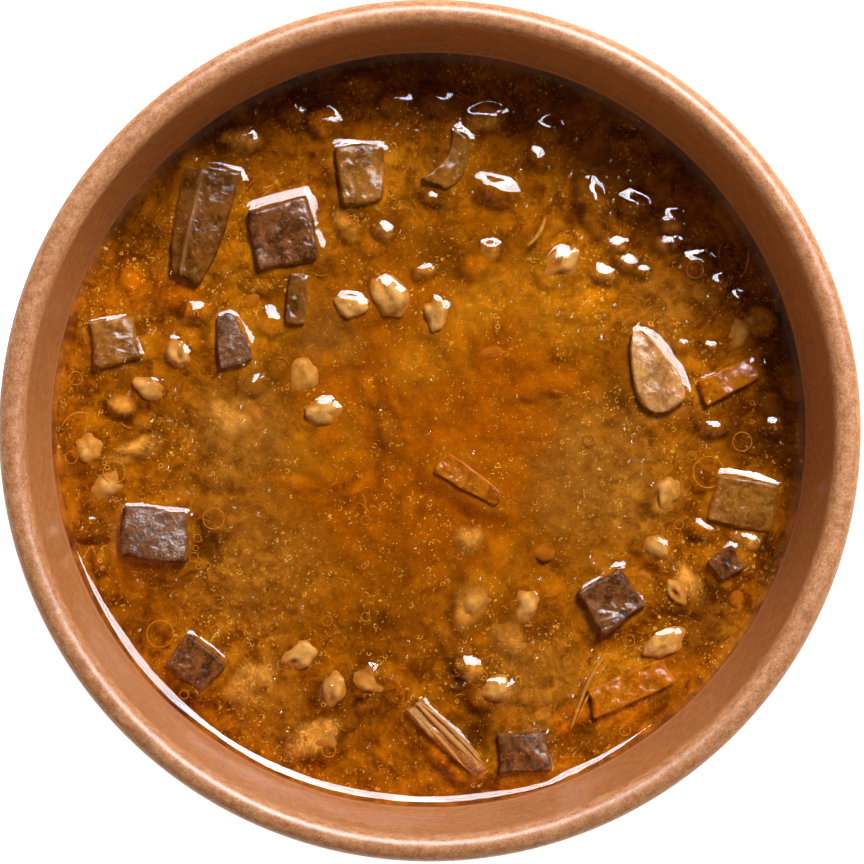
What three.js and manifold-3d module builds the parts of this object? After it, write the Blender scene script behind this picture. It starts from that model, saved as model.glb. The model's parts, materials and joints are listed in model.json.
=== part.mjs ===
// A paper bowl of barley and vegetable soup, in millimetres, +Z up.
// The origin is on the surface that the bowl stands on, under the centre of its base.
// The broth is one solid up to its level, with the barley grains and lumps that show fused on.
// Each diced or cut piece is its own solid and sits in a pocket of the broth.

import * as THREE from "three";
import { mergeVertices } from "three/addons/utils/BufferGeometryUtils.js";
import Module from "manifold-3d";

const wasm = await Module();
wasm.setup();

// ---- Driving dimensions -----------------------------------------------------------

const RIM_RADIUS = 75; // outside of the rolled rim
const ROLL_RADIUS = 2.4; // half the thickness of the roll
const BOWL_HEIGHT = 60;
const FOOT_RADIUS = 62.5; // outside of the wall where the bowl stands
const PAPER = 0.6; // thickness of the wall and of the base disc
const FOOT_RING = 1.4; // the wall and the folded base together, at the foot
const BASE_RECESS = 5; // the base disc's underside above the table
const ROUND_STEPS = 64; // facets round the bowl and the broth

const BROTH_LEVEL = 37.5; // the liquid's surface above the table
const CREEP = 1.6; // how far the broth climbs the wall
const CREEP_REACH = 2.2; // how fast that climb fades towards the middle
const GAP = 0.35; // between the broth and what it touches

const PIECE_EDGE = 0.16; // edge rounding of a cut piece, as a share of its smallest side
const UNEVEN = 0.045; // how far a knife cut strays from flat, as a share of the side
const SKEW = 0.08; // the most that a cut piece's ends stray from square
const ONION_BOW = 0.18; // how far an onion layer bows, as a share of its length
const MEAT_TWIST = 25; // degrees that a shred of meat turns from its middle to its end

const GRAIN = { length: 6.4, width: 4.6, height: 3.8 }; // a cooked barley grain
const GRAIN_PROUD = 1.1; // how far a grain shows above the broth
const LUMP_ROOT = 1.2; // how far under the surface a lump is widest

// The cut pieces: name, kind, middle across the bowl, [length, width, depth], turn of the
// length from +X in degrees, how far the top stands over the broth, lean of the top about the
// length and the width in degrees, and the share by which the far end is narrowed.
const PIECES = [
  ["dark_dice_1", "dice", [-26.1, 35.4], [11.2, 11.2, 10], 14, 1.3, [3, -2], 0],
  ["dark_dice_2", "dice", [-49.4, -18.9], [11.8, 9.2, 9.5], -7, 1.4, [-3, 2], 0],
  ["dark_dice_3", "dice", [32.6, -30.6], [9.2, 8.8, 9], 33, 1.3, [2, 3], 0],
  ["dark_dice_4", "dice", [17.1, -58.2], [9.2, 7.2, 8], 3, 1.0, [-4, 0], 0],
  ["dark_dice_5", "dice", [53.5, -24.0], [5.2, 4.6, 4.6], 35, 1.0, [4, -4], 0],
  ["dark_dice_6", "dice", [-41.9, -41.6], [8.6, 6.8, 7], -37, 0.7, [5, 3], 0],
  ["dark_wedge_1", "wedge", [-35.4, 16.2], [9.4, 6.0, 6], 104, 0.8, [-4, 3], 0.5],
  ["pale_dice_1", "dice", [-12.4, 45.8], [10.4, 9.0, 9], -87, 0.9, [-3, -3], 0.28],
  ["pale_dice_2", "dice", [56.6, -13.0], [11.4, 8.8, 8.5], -11, 0.8, [3, 2], 0],
  ["pale_dice_3", "dice", [-56.6, 15.8], [8.2, 8.2, 7.5], 12, 0.6, [-3, 4], 0],
  ["pale_wedge_1", "wedge", [40.2, 10.6], [16.0, 9.8, 7], 113, 1.0, [2, 2], 0.8],
  ["celery_1", "wedge", [-41.0, 36.8], [20.5, 10.6, 7.5], 256, 1.0, [4, -2], 0.5],
  ["celery_2", "stick", [-23.9, 23.5], [8.6, 3.6, 4], 86, 0.5, [5, 0], 0.15],
  ["carrot_1", "stick", [7.4, -9.0], [12.4, 4.2, 4], -33, 0.5, [4, 0], 0.35],
  ["carrot_2", "stick", [53.8, 8.7], [10.6, 4.8, 4.5], 26, 0.9, [-4, 2], 0.2],
  ["carrot_3", "stick", [36.2, -46.4], [15.2, 5.6, 4.5], 23, 0.8, [-3, 1], 0.2],
  ["meat_1", "shred", [3.2, -55.4], [16.8, 3.8, 3.2], -43, 0.6, [3, 0], 0.45],
  ["onion_1", "layer", [4.1, 48.5], [10.5, 4.6, 4], 64, 0.6, [4, 0], 0.4],
].map(([name, kind, at, size, turn, proud, lean, narrow], order) => {
  return { name, kind, at, size, turn, proud, lean, narrow, order };
});

// How finely each kind is divided along its length, width and depth.
const DIVISIONS = {
  dice: [4, 4, 2],
  wedge: [5, 4, 2],
  stick: [6, 3, 2],
  shred: [7, 3, 2],
  layer: [7, 3, 2],
};

// The barley grains that show most: x, y and the turn of the length from +X, in degrees.
const SHOWN_GRAINS = [
  [-14.2, 22.3, -12], [-7.2, 24.3, -52], [-45.2, 13.6, 100], [-19.0, 3.4, 8],
  [-22.6, 9.8, 60], [-61.0, -3.4, 112], [-58.0, -10.4, 48], [-23.4, -41.0, 20],
  [-17.2, -46.6, 80], [-10.8, -45.6, 160], [-18.7, -56.0, 24], [41.0, -21.4, 140],
  [44.8, -29.4, -52], [42.6, -38.4, 20], [8.2, -31.6, 70], [17.6, -31.8, 75],
  [12.0, -46.8, 12], [23.9, 30.2, 35], [1.2, 21.0, 95], [43.0, -11.4, 70],
  [29.4, 41.4, 100], [37.4, 40.6, -40], [44.4, 36.4, -60], [-6.8, 57.4, 20],
  [1.8, 57.6, 170], [12.2, 55.8, 10], [21.8, 53.2, -30], [12.4, 42.6, 160],
  [-50.0, 7.6, -15], [52.0, 25.8, -40], [47.6, 30.6, 10], [55.6, 17.2, 60],
  [-33.6, 52.6, 30], [-18.4, 57.0, 60],
];

// Lumps just under the surface, which the broth rises over: x, y, length, width, turn of the
// length in degrees and how far the broth rises.
const LUMPS = [
  [-6.3, 58.8, 5.0, 4.6, 0, 1.2], [1.3, 59.3, 5.5, 5.0, 0, 1.2], [10.2, 56.1, 7.0, 4.5, 10, 1.0],
  [21.4, 53.9, 4.5, 4.0, 0, 1.1], [29.3, 40.4, 9.0, 4.6, 105, 1.5], [36.8, 40.4, 5.5, 4.5, 150, 1.2],
  [43.7, 37.4, 4.0, 4.0, 0, 1.0], [42.9, 33.6, 4.5, 3.0, 15, 0.8], [33.8, 33.1, 2.6, 2.4, 0, 0.8],
  [35.6, 29.8, 3.0, 2.5, 150, 0.8], [31.4, 28.0, 3.5, 2.5, -20, 0.8], [38.3, 28.4, 2.2, 2.0, 0, 0.6],
  [48.2, 29.8, 5.2, 4.0, -5, 1.1], [52.3, 26.2, 3.5, 3.0, -10, 0.9], [55.9, 23.2, 3.5, 3.0, -10, 0.8],
  [59.8, 19.4, 6.0, 5.6, 0, 0.5], [23.4, 30.5, 4.0, 3.2, 30, 0.8], [19.6, 48.9, 3.2, 2.0, -60, 0.9],
  [11.7, 43.1, 8.0, 4.5, -20, 0.9], [0.4, 41.3, 2.4, 2.2, 0, 0.8], [11.1, 32.5, 3.0, 2.8, 0, 0.9],
  [-0.7, 28.4, 3.0, 2.2, 20, 0.6], [-14.9, 36.7, 5.5, 3.8, -50, 0.3], [-8.1, 35.9, 3.0, 2.6, -30, 0.9],
  [-34.0, 52.1, 7.0, 4.0, -10, 1.0], [-24.4, 57.0, 5.0, 5.0, 0, 0.6], [-13.3, 63.4, 4.5, 3.0, 10, 0.7],
  [-18.8, 55.4, 5.5, 5.0, 0, 1.2], [-41.9, 21.2, 5.5, 4.0, 20, 0.7], [-30.4, 25.7, 4.0, 3.0, 0, 0.2],
  [-28.2, 19.4, 5.0, 4.4, 80, 0.8], [-61.0, -18.0, 5.0, 4.0, 0, 0.7], [-58.9, -23.7, 3.5, 2.5, 80, 0.8],
  [-31.4, 8.1, 4.2, 2.8, 45, 0.9], [-26.8, 12.0, 5.0, 3.0, 50, 0.4], [-17.4, -46.7, 4.0, 3.8, 0, 0.9],
  [-11.0, -43.8, 3.5, 3.0, 0, 0.7], [-25.9, -54.8, 2.6, 2.4, 0, 0.7], [-43.5, -46.4, 2.2, 2.0, 0, 0.5],
  [7.2, -42.8, 4.5, 3.5, 0, 1.0], [12.2, -46.9, 6.5, 3.0, 10, 0.9], [49.2, -18.0, 5.5, 3.2, -30, 0.9],
  [57.5, -19.8, 4.6, 3.4, -15, 0.9], [50.7, 0.4, 4.2, 3.2, -15, 0.9], [62.2, 0.4, 3.6, 3.0, -20, 0.8],
  [61.3, 5.9, 3.0, 2.2, 20, 0.6], [50.3, 14.6, 2.6, 2.2, 40, 0.6], [45.3, 14.9, 2.2, 2.0, 0, 0.5],
  [2.9, -59.3, 9.0, 4.0, -50, 1.0], [23.8, 13.4, 2.0, 1.8, 0, 0.3], [-36.8, 28.6, 2.2, 1.6, -50, 0.6],
  [-55.5, 4.5, 4.4, 4.0, 0, 0.4],
];

// ---- Small helpers ----------------------------------------------------------------

const radians = THREE.MathUtils.degToRad;
const { lerp, clamp } = THREE.MathUtils;

// A closed three.js mesh as a solid that can be joined and cut.
function solidOf(geometry) {
  const bare = new THREE.BufferGeometry();
  bare.setAttribute("position", geometry.getAttribute("position"));
  bare.setIndex(geometry.index);
  const merged = mergeVertices(bare, 1e-4);
  return new wasm.Manifold(
    new wasm.Mesh({
      numProp: 3,
      vertProperties: new Float32Array(merged.getAttribute("position").array),
      triVerts: new Uint32Array(merged.index.array),
    }),
  );
}

// The same solid back as a three.js geometry.
function geometryOf(solid) {
  const mesh = solid.getMesh();
  const geometry = new THREE.BufferGeometry();
  geometry.setAttribute("position", new THREE.BufferAttribute(mesh.vertProperties, 3));
  geometry.setIndex(new THREE.BufferAttribute(mesh.triVerts, 1));
  geometry.computeVertexNormals();
  return geometry;
}

// Moves each vertex of a geometry by a function that changes the vector it is given.
function reshape(geometry, move) {
  const position = geometry.getAttribute("position");
  const point = new THREE.Vector3();
  for (let i = 0; i < position.count; i += 1) {
    point.fromBufferAttribute(position, i);
    move(point);
    position.setXYZ(i, point.x, point.y, point.z);
  }
  return geometry;
}

// A profile of [radius, height] pairs turned about +Z.
function turned(profile) {
  const points = profile.map(([radius, height]) => new THREE.Vector2(radius, height));
  return new THREE.LatheGeometry(points, ROUND_STEPS).rotateX(Math.PI / 2);
}

// An even draw between 0 and 1 that is the same in every run.
function draw(seed) {
  const wave = Math.sin(seed * 12.9898) * 43758.5453;
  return wave - Math.floor(wave);
}

// ---- The paper bowl ---------------------------------------------------------------

const ROLL_CENTRE = [RIM_RADIUS - ROLL_RADIUS, BOWL_HEIGHT - ROLL_RADIUS];
const ROLL_ANGLES = [-140, -120, -90, -60, -30, 0, 30, 60, 90, 120, 150, 180];

// The inside of the wall at a height: it widens evenly from the foot to the roll.
function innerRadius(height) {
  const foot = FOOT_RADIUS - PAPER;
  const lip = RIM_RADIUS - 2 * ROLL_RADIUS;
  return lerp(foot, lip, height / ROLL_CENTRE[1]);
}

function bowlGeometry() {
  const wallTop = ROLL_CENTRE[1] - ROLL_RADIUS;
  const floor = BASE_RECESS + PAPER;
  return turned([
    [0, BASE_RECESS],
    [FOOT_RADIUS - FOOT_RING, BASE_RECESS],
    [FOOT_RADIUS - FOOT_RING, 0],
    [FOOT_RADIUS, 0],
    [innerRadius(wallTop) + PAPER, wallTop],
    ...ROLL_ANGLES.map((angle) => [
      ROLL_CENTRE[0] + ROLL_RADIUS * Math.cos(radians(angle)),
      ROLL_CENTRE[1] + ROLL_RADIUS * Math.sin(radians(angle)),
    ]),
    [innerRadius(floor), floor],
    [0, floor],
  ]);
}

// ---- Cut pieces -------------------------------------------------------------------

// One cut piece, centred on the origin, with each side moved out by grow.
function pieceGeometry({ kind, size, narrow, order }, grow = 0) {
  const half = size.map((side) => side / 2 + grow);
  const edge = PIECE_EDGE * 2 * Math.min(...half);
  const skew = SKEW * (2 * draw(order + 1) - 1);
  const length = new THREE.Vector3(1, 0, 0);
  const core = new THREE.Vector3();
  const box = new THREE.BoxGeometry(2, 2, 2, ...DIVISIONS[kind]);
  return reshape(box, (point) => {
    const unit = point.clone();
    point.set(unit.x * half[0], unit.y * half[1], unit.z * half[2]);
    core.set(
      clamp(point.x, edge - half[0], half[0] - edge),
      clamp(point.y, edge - half[1], half[1] - edge),
      clamp(point.z, edge - half[2], half[2] - edge),
    );
    const out = point.clone().sub(core);
    if (out.length() > edge) point.copy(core).add(out.setLength(edge));
    const along = (unit.x + 1) / 2;
    point.y *= 1 - narrow * along * along;
    if (kind === "layer") point.y += ONION_BOW * size[0] * (unit.x * unit.x - 0.4);
    point.x += skew * point.y;
    point.x *= 1 + UNEVEN * Math.sin(order + 2.3 * unit.y + 1.7 * unit.z);
    point.y *= 1 + UNEVEN * Math.sin(order * 1.7 + 2.6 * unit.x);
    point.z *= 1 + UNEVEN * Math.sin(order * 2.3 + 2.1 * unit.x + 1.9 * unit.y);
    if (kind === "shred") point.applyAxisAngle(length, radians(MEAT_TWIST) * unit.x);
  });
}

// Where a piece sits: turned, leaning, with its top proud of the broth.
function pieceMatrix({ at, size, turn, proud, lean }) {
  const height = BROTH_LEVEL + proud - size[2] / 2;
  return new THREE.Matrix4()
    .makeTranslation(at[0], at[1], height)
    .multiply(new THREE.Matrix4().makeRotationZ(radians(turn)))
    .multiply(new THREE.Matrix4().makeRotationX(radians(lean[0])))
    .multiply(new THREE.Matrix4().makeRotationY(radians(lean[1])));
}

// ---- Barley and lumps -------------------------------------------------------------

function grainSolid([x, y, turn], index) {
  const share = 0.85 + 0.3 * draw(index + 101);
  const sunk = 0.5 * draw(index + 201);
  const grain = new THREE.SphereGeometry(0.5, 8, 5);
  grain.rotateX(Math.PI / 2);
  grain.scale(GRAIN.length * share, GRAIN.width * share, GRAIN.height);
  grain.rotateZ(radians(turn));
  grain.translate(x, y, BROTH_LEVEL + GRAIN_PROUD - sunk - GRAIN.height / 2);
  return solidOf(grain);
}

// The broth's surface over a lump: the upper part of a flat ball.
function lumpSolid([x, y, length, width, turn, rise]) {
  const lump = new THREE.SphereGeometry(0.5, 8, 5);
  lump.rotateX(Math.PI / 2);
  lump.scale(length + LUMP_ROOT, width + LUMP_ROOT, 2 * (rise + LUMP_ROOT));
  lump.rotateZ(radians(turn));
  lump.translate(x, y, BROTH_LEVEL - LUMP_ROOT);
  return solidOf(lump);
}

// ---- The broth --------------------------------------------------------------------

// The height of the free surface at a radius: flat, and creeping up the wall at its edge.
function surfaceHeight(radius, edge) {
  return BROTH_LEVEL + CREEP * Math.exp((radius - edge) / CREEP_REACH);
}

function brothSolid() {
  const floor = BASE_RECESS + PAPER + GAP;
  const edge = innerRadius(BROTH_LEVEL + CREEP) - GAP;
  const rings = [1, 0.985, 0.96, 0.92, 0.6, 0.3];
  let broth = solidOf(
    turned([
      [0, floor],
      [innerRadius(floor) - GAP, floor],
      ...rings.map((share) => [share * edge, surfaceHeight(share * edge, edge)]),
      [0, BROTH_LEVEL],
    ]),
  );
  broth = wasm.Manifold.union([broth, ...SHOWN_GRAINS.map(grainSolid), ...LUMPS.map(lumpSolid)]);
  for (const piece of PIECES) {
    const pocket = pieceGeometry(piece, GAP).applyMatrix4(pieceMatrix(piece));
    broth = broth.subtract(solidOf(pocket));
  }
  return broth;
}

// ---- The object -------------------------------------------------------------------

function surface(color, roughness) {
  return new THREE.MeshStandardMaterial({ color, roughness, metalness: 0 });
}

const MATERIALS = {
  paper: surface(0xb9733f, 0.6),
  broth: surface(0x8a4f08, 0.12),
  dark: surface(0x5c3a26, 0.35),
  pale: surface(0xa8792c, 0.3),
  celery: surface(0x6e5024, 0.3),
  carrot: surface(0xb86708, 0.3),
  meat: surface(0xa8722e, 0.4),
  onion: surface(0xa87a2c, 0.25),
};

function named(name, geometry, material) {
  const mesh = new THREE.Mesh(geometry, material);
  mesh.name = name;
  return mesh;
}

const soup = new THREE.Group();
soup.add(named("bowl", bowlGeometry(), MATERIALS.paper));
soup.add(named("broth", geometryOf(brothSolid()), MATERIALS.broth));
for (const piece of PIECES) {
  const food = piece.name.split("_")[0];
  const mesh = named(piece.name, pieceGeometry(piece), MATERIALS[food]);
  mesh.applyMatrix4(pieceMatrix(piece));
  soup.add(mesh);
}

export default soup;
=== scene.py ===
# Dresses a paper bowl of barley vegetable soup. One unit is one metre; the helpers and the
# tables below count in millimetres and MM turns them into metres.

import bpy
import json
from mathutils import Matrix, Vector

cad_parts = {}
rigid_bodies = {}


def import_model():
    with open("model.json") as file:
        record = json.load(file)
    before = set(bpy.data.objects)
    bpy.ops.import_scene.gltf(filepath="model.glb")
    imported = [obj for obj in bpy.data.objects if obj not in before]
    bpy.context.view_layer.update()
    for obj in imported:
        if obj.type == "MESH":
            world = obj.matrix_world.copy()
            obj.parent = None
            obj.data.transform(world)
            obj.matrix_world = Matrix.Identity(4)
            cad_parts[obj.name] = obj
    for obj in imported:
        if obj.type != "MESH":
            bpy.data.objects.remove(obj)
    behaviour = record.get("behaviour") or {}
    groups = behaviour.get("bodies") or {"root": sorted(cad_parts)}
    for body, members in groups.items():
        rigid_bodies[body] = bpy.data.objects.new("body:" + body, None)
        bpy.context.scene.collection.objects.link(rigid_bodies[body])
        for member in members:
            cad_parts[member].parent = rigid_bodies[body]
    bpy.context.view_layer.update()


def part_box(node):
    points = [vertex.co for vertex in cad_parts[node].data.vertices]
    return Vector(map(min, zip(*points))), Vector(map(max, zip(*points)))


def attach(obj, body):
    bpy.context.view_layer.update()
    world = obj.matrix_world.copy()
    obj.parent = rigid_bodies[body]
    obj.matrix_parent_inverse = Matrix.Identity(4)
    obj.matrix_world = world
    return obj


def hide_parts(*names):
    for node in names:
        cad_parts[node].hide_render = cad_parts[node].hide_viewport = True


bl_info = {
    "name": "Barley Vegetable Soup",
    "version": (1, 0, 0),
    "blender": (4, 5, 0),
    "location": "View3D > Sidebar > Soup",
    "description": "A round paper bowl of cloudy broth with barley and cut vegetables",
    "category": "Object",
}

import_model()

import json
import math
import random

import bmesh
import bpy
import numpy as np
from bpy.props import FloatProperty, FloatVectorProperty, IntProperty, PointerProperty
from mathutils import Matrix, Vector, noise

MM = 0.001
BOWL_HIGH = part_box("bowl")[1]

# A piece that stands out of the broth by more millimetres than this has a bare top.
BARE = 0.65

# Small bubbles and fine fibres lie within this many millimetres of the middle.
DRIFTS_WITHIN = 65

# The stage: the camera's lens and sensor in millimetres, where it looks, how far the lamps
# are, and the azimuth and angle from straight up of the softbox and of the lamps that shine
# back from the wet slopes.
LENS, SENSOR = 144.3, 36
LOOKS_AT = (0.21, -0.21, 57.7)
LOOKS_FROM = (-9.6, 4.3)
LAMP_DISTANCE = 0.85
SOFTBOX_AZIMUTH, SOFTBOX_FROM_UP = 63, 45
SHINE_AZIMUTHS, SHINE_FROM_UP, SHINE_WATTS = (40, 71, 102), 42, 14.2

# The cut pieces, placed as the solids are, with only carrot_1 0.2 mm lower: kind, look, middle
# across the bowl, length, width and depth, turn of the length from +X, how far the top stands
# over the broth, lean about the length and the width, and how much the far end is narrowed.
PIECES = {
    "dark_dice_1": ("dice", "dark", (-26.1, 35.4), (11.2, 11.2, 10), 14, 1.3, (3, -2), 0),
    "dark_dice_2": ("dice", "mauve", (-49.4, -18.9), (11.8, 9.2, 9.5), -7, 1.4, (-3, 2), 0),
    "dark_dice_3": ("dice", "dark", (32.6, -30.6), (9.2, 8.8, 9), 33, 1.3, (2, 3), 0),
    "dark_dice_4": ("dice", "dark", (17.1, -58.2), (9.2, 7.2, 8), 3, 1.0, (-4, 0), 0),
    "dark_dice_5": ("dice", "dark", (53.5, -24.0), (5.2, 4.6, 4.6), 35, 1.0, (4, -4), 0),
    "dark_dice_6": ("dice", "dark", (-41.9, -41.6), (8.6, 6.8, 7), -37, 0.7, (5, 3), 0),
    "dark_wedge_1": ("wedge", "mauve", (-35.4, 16.2), (9.4, 6.0, 6), 104, 0.8, (-4, 3), 0.5),
    "pale_dice_1": ("dice", "pale", (-12.4, 45.8), (10.4, 9.0, 9), -87, 0.9, (-3, -3), 0.28),
    "pale_dice_2": ("dice", "pale", (56.6, -13.0), (11.4, 8.8, 8.5), -11, 0.8, (3, 2), 0),
    "pale_dice_3": ("dice", "pale", (-56.6, 15.8), (8.2, 8.2, 7.5), 12, 0.6, (-3, 4), 0),
    "pale_wedge_1": ("wedge", "cream", (40.2, 10.6), (16.0, 9.8, 7), 113, 1.0, (2, 2), 0.8),
    "celery_1": ("wedge", "celery", (-41.0, 36.8), (20.5, 10.6, 7.5), 256, 1.0, (4, -2), 0.5),
    "celery_2": ("stick", "celery", (-23.9, 23.5), (8.6, 3.6, 4), 86, 0.5, (5, 0), 0.15),
    "carrot_1": ("stick", "carrot", (7.4, -9.0), (12.4, 4.2, 4), -33, 0.3, (4, 0), 0.35),
    "carrot_2": ("stick", "carrot", (53.8, 8.7), (10.6, 4.8, 4.5), 26, 0.9, (-4, 2), 0.2),
    "carrot_3": ("stick", "carrot", (36.2, -46.4), (15.2, 5.6, 4.5), 23, 0.8, (-3, 1), 0.2),
    "meat_1": ("shred", "meat", (3.2, -55.4), (16.8, 3.8, 3.2), -43, 0.6, (3, 0), 0.45),
    "onion_1": ("layer", "onion", (4.1, 48.5), (10.5, 4.6, 4), 64, 0.6, (4, 0), 0.4),
}

# The barley grains that show most: x, y, the turn of the length from +X and how far the top
# stands over the broth.
SHOWN_GRAINS = (
    (-14.2, 22.3, -12, 0.6), (-7.2, 24.3, -52, 0.7), (-45.2, 13.6, 100, 0.5),
    (-19.0, 3.4, 8, 0.5), (-22.6, 9.8, 60, 0.2), (-61.0, -3.4, 112, 0.1),
    (-58.0, -10.4, 48, -0.1), (-23.4, -41.0, 20, 0.4), (-17.2, -46.6, 80, 0.4),
    (-10.8, -45.6, 160, -0.3), (-18.7, -56.0, 24, -0.7), (41.0, -21.4, 140, 0.2),
    (44.8, -29.4, -52, 0.0), (42.6, -38.4, 20, 0.5), (8.2, -31.6, 70, -0.4),
    (17.6, -31.8, 75, 0.4), (12.0, -46.8, 12, 0.4), (23.9, 30.2, 35, 0.3),
    (1.2, 21.0, 95, 0.4), (43.0, -11.4, 70, 0.2), (-50.0, 7.6, -15, 0.2),
    (55.6, 17.2, 60, -0.3),
)

# Places in the broth with a tint of their own: tint, x, y, radius and share.
PLACES = (
    ("cloud", 31, -8, 18, 0.9), ("cloud", -34, -1, 14, 0.8), ("cloud", -32, -24, 16, 0.6),
    ("cloud", 42, 22, 10, 0.6), ("cloud", -18, 17, 7, 0.7), ("cloud", 20, -45, 12, 0.7),
    ("cloud", -29, -48, 9, 0.4), ("cloud", 50, -33, 7, 0.4), ("cloud", -56, 16, 6, 0.4),
    ("deep", 9, -56, 6, 0.9), ("deep", 2, -47, 6, 0.5), ("deep", -16, -52, 9, 0.5),
    ("deep", 47, -34, 8, 0.6), ("deep", -41, -20, 5, 0.9), ("deep", -59, -34, 9, 0.6),
    ("deep", 3, 33, 6, 0.5), ("deep", -23, 29, 6, 0.6), ("deep", 35, 55, 12, 0.3),
    ("deep", 50, 50, 11, 0.5), ("deep", 23, 65, 9, 0.6), ("deep", -2, 66, 9, 0.6),
    ("deep", -23, 62, 9, 0.6), ("deep", -42, 51, 9, 0.5), ("deep", -54, 36, 8, 0.5),
    ("deep", 61, 31, 9, 0.35), ("deep", 66, 16, 8, 0.7), ("deep", 59, -3, 7, 0.6),
    ("deep", -9, -4, 6, 0.3), ("deep", -10, -38, 8, 0.4), ("deep", 63, -24, 8, 0.5),
    ("deep", 26, -56, 7, 0.5), ("deep", -44, -52, 8, 0.5), ("deep", 37, 6, 6, 0.35),
    ("gold", 24, 24, 13, 0.6), ("gold", -32, 17, 7, 0.7), ("gold", -34, 29, 6, 0.6),
    ("gold", -18, -2, 9, 0.5), ("gold", 0, 14, 9, 0.5), ("gold", -5, 45, 8, 0.5),
    ("gold", 9, 23, 7, 0.6), ("gold", 32, -47, 11, 0.5), ("gold", 12, -23, 7, 0.4),
    ("orange", -54, 25, 7, 0.6), ("orange", -45, 25, 5, 0.8), ("orange", 12, 1, 12, 1.0),
    ("orange", 18, 9, 10, 0.6), ("orange", 8, -14, 14, 0.7), ("orange", -14, -12, 10, 0.5),
)

# Lumps just under the surface, which the broth rises over: look, x, y, length, width, turn
# and how far the broth rises.
LUMPS = (
    ("onion", -6.3, 58.8, 5.0, 4.6, 0, 1.2), ("dark", 1.3, 59.3, 5.5, 5.0, 0, 1.2),
    ("barley", 10.2, 56.1, 7.0, 4.5, 10, 1.0), ("dark", 21.4, 53.9, 4.5, 4.0, 0, 1.1),
    ("onion", 29.3, 40.4, 9.0, 4.6, 105, 1.5), ("dark", 36.8, 40.4, 5.5, 4.5, 150, 1.2),
    ("meat", 43.7, 37.4, 4.0, 4.0, 0, 1.0), ("meat", 42.9, 33.6, 4.5, 3.0, 15, 0.8),
    ("barley", 33.8, 33.1, 2.6, 2.4, 0, 0.8), ("barley", 35.6, 29.8, 3.0, 2.5, 150, 0.8),
    ("barley", 31.4, 28.0, 3.5, 2.5, -20, 0.8), ("onion", 38.3, 28.4, 2.2, 2.0, 0, 0.6),
    ("dark", 48.2, 29.8, 5.2, 4.0, -5, 1.1), ("onion", 52.3, 26.2, 3.5, 3.0, -10, 0.9),
    ("onion", 55.9, 23.2, 3.5, 3.0, -10, 0.8), ("barley", 59.8, 19.4, 6.0, 5.6, 0, 0.5),
    ("meat", 23.4, 30.5, 4.0, 3.2, 30, 0.8), ("onion", 19.6, 48.9, 3.2, 2.0, -60, 0.9),
    ("celery", 11.7, 43.1, 8.0, 4.5, -20, 0.9), ("onion", 0.4, 41.3, 2.4, 2.2, 0, 0.8),
    ("barley", 11.1, 32.5, 3.0, 2.8, 0, 0.9), ("barley", -0.7, 28.4, 3.0, 2.2, 20, 0.6),
    ("barley", -14.9, 36.7, 5.5, 3.8, -50, 0.3), ("barley", -8.1, 35.9, 3.0, 2.6, -30, 0.9),
    ("barley", -34.0, 52.1, 7.0, 4.0, -10, 1.0), ("celery", -24.4, 57.0, 5.0, 5.0, 0, 0.6),
    ("dark", -13.3, 63.4, 4.5, 3.0, 10, 0.7), ("gold", -18.8, 55.4, 5.5, 5.0, 0, 1.2),
    ("gold", -41.9, 21.2, 5.5, 4.0, 20, 0.7), ("gold", -30.4, 25.7, 4.0, 3.0, 0, 0.2),
    ("gold", -28.2, 19.4, 5.0, 4.4, 80, 0.8), ("celery", -61.0, -18.0, 5.0, 4.0, 0, 0.7),
    ("onion", -58.9, -23.7, 3.5, 2.5, 80, 0.8), ("onion", -31.4, 8.1, 4.2, 2.8, 45, 0.9),
    ("onion", -26.8, 12.0, 5.0, 3.0, 50, 0.4), ("meat", -17.4, -46.7, 4.0, 3.8, 0, 0.9),
    ("meat", -11.0, -43.8, 3.5, 3.0, 0, 0.7), ("onion", -25.9, -54.8, 2.6, 2.4, 0, 0.7),
    ("onion", -43.5, -46.4, 2.2, 2.0, 0, 0.5), ("barley", 7.2, -42.8, 4.5, 3.5, 0, 1.0),
    ("meat", 12.2, -46.9, 6.5, 3.0, 10, 0.9), ("gold", 49.2, -18.0, 5.5, 3.2, -30, 0.9),
    ("barley", 57.5, -19.8, 4.6, 3.4, -15, 0.9), ("dark", 50.7, 0.4, 4.2, 3.2, -15, 0.9),
    ("dark", 62.2, 0.4, 3.6, 3.0, -20, 0.8), ("dark", 61.3, 5.9, 3.0, 2.2, 20, 0.6),
    ("dark", 50.3, 14.6, 2.6, 2.2, 40, 0.6), ("onion", 45.3, 14.9, 2.2, 2.0, 0, 0.5),
    ("carrot", 2.9, -59.3, 9.0, 4.0, -50, 1.0), ("onion", 23.8, 13.4, 2.0, 1.8, 0, 0.3),
    ("onion", -36.8, 28.6, 2.2, 1.6, -50, 0.6), ("barley", -55.5, 4.5, 4.4, 4.0, 0, 0.4),
)

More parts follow.
